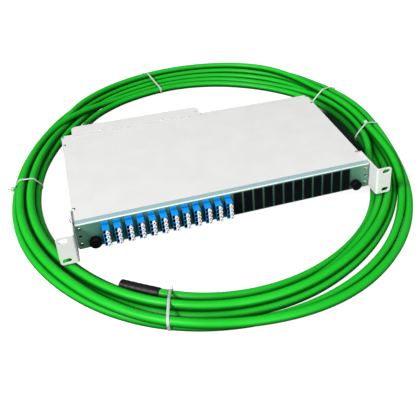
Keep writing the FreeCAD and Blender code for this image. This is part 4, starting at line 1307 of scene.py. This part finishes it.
@dataclass(frozen=True)
class Studio:
    """A plain pale floor, dark where the chassis shades it from the key light, and a white sky.

    Attributes:
        pale: The two colours of the floor's clouds.
        bounce: Colour that the floor throws back onto the pieces.
        glow: How much the floor shines by itself, to the camera alone.
        nook: Colour of the floor in the chassis' shade.
        sky: Strength of the sky's light. The camera sees it white.
    """

    height: float = -0.0472
    half: float = 6.0
    pale: tuple[Colour, Colour] = ((0.35, 0.35, 0.35), (0.37, 0.37, 0.37))
    cloud_scale: float = 3.0
    bounce: Colour = (0.10, 0.10, 0.10)
    glow: float = 0.93
    nook: Colour = (0.02, 0.05, 0.035)
    roughness: float = 0.9
    sky: float = 0.17

    def build(self) -> None:
        """Add the floor and the sky."""
        material = bpy.data.materials.new("studio_floor")
        nodes = fresh_nodes(material)
        cloud = nodes.add("ShaderNodeTexNoise", {"Vector": nodes.spot(), "Scale": self.cloud_scale})
        seen = nodes.add("ShaderNodeLightPath").outputs["Is Camera Ray"]
        lit = nodes.rest(nodes.group(Effect.SHADE).outputs["Shade"])
        colour = nodes.mix(seen, self.bounce, nodes.mix(cloud.outputs[0], *self.pale))
        surface = nodes.add(
            "ShaderNodeBsdfPrincipled",
            {
                "Base Color": nodes.mix(lit, self.nook, colour),
                "Roughness": self.roughness,
                "Specular IOR Level": 0.0,
                "Emission Color": WHITE,
                "Emission Strength": nodes.product(seen, self.glow, lit),
            },
        )
        nodes.add("ShaderNodeOutputMaterial", {"Surface": surface.outputs[0]})
        corner = np.array([[-1, -1], [1, -1], [1, 1], [-1, 1]]) * self.half
        points = np.c_[corner, np.full(4, self.height)]
        floor = mesh_object("floor", points, np.array([[0, 1, 2, 3]]), [material])

        world = bpy.data.worlds.new("studio")
        bpy.context.scene.world = world
        nodes = fresh_nodes(world)
        seen = nodes.add("ShaderNodeLightPath").outputs["Is Camera Ray"]
        strength = nodes.math("ADD", nodes.product(seen, 1.0 - self.sky), self.sky)
        sky = nodes.add("ShaderNodeBackground", {"Color": WHITE, "Strength": strength})
        nodes.add("ShaderNodeOutputWorld", {"Surface": sky.outputs[0]})


LIGHTS = (
    SoftLight("key", (-5.2, -2.7, 5.2), (0.0, 0.15, 0.0), 2.1, 708.0),
    SoftLight("front", (0.2, -2.4, 1.0), (0.0, 0.1, 0.0), 1.4, 31.0),
)

TIES = (
    CableTie(1, 96.0, 25.0, 0.010),
    CableTie(2, 26.5, 10.0, 0.004),
    CableTie(3, -7.0, 118.0, 0.002),
    CableTie(4, -113.0, 150.0, 0.003, skew=18.5),
    CableTie(5, 177.0, 10.0, 0.007),
)


def dress_nodes(frame: dict[str, Any], materials: dict[str, Material]) -> None:
    """Give every CAD node the material of its slot in the record, or the rear plate's paint.

    Args:
        frame: The loaded frame.
        materials: Materials by slot name.
    """
    for part in frame["record"]["subparts"]:
        node = frame["nodes"][part["node"]]
        finish = Extra.PLATE.value if part["node"] in PLATE_NODES else part["material_slot"]
        node.data.materials.clear()
        node.data.materials.append(materials[finish])
        log.info("node %s: %s", part["node"], finish)


def add_piece(piece: Piece, body: Body, slot: Slot, *nodes: str) -> Piece:
    """Let a piece ride on a body and stand for CAD nodes, which are hidden.

    Args:
        piece: The piece.
        body: The body that carries it.
        slot: Its slot in the record; not used.
        nodes: Names of the CAD nodes that it stands for.

    Returns:
        The same piece.
    """
    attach(piece, body.value)
    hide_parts(*nodes)
    return piece


def main() -> None:
    """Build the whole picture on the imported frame."""
    logging.basicConfig(level=logging.INFO, format="%(name)s: %(message)s")
    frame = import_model()
    scene = bpy.context.scene
    scene.view_settings.view_transform = "Standard"

    PhotoCamera().build()
    for effect in (GrainEffect(), SpangleEffect(), ShadeEffect()):
        effect.build()
    materials = {key: finish.build() for key, finish in FINISHES.items()}

    cable = TrunkCable(CoilPlan())
    jacket = cable.build(materials[Slot.CABLE.value])
    add_piece(jacket, Body.CHASSIS, Slot.CABLE, "cable_exit", "cable_coil")
    sleeve = EndSleeve().build(cable, materials[Slot.SLEEVE.value])
    add_piece(sleeve, Body.CHASSIS, Slot.SLEEVE, "end_sleeve")
    bands = [tie.build(cable, materials[Slot.TIE.value]) for tie in TIES]
    ties = [
        add_piece(band, Body.CHASSIS, Slot.TIE, f"cable_tie_{tie.number}")
        for band, tie in zip(bands, TIES)
    ]

    dress_nodes(frame, materials)
    caps = DustCaps().build(materials[Slot.CAP.value], materials[Extra.BORE_SHADE.value])
    add_piece(caps, Body.TRAY, Slot.CAP, "dust_caps")

    Studio().build()
    for light in LIGHTS:
        light.build()

    bpy.context.view_layer.update()


if __name__ == "__main__":
    main()
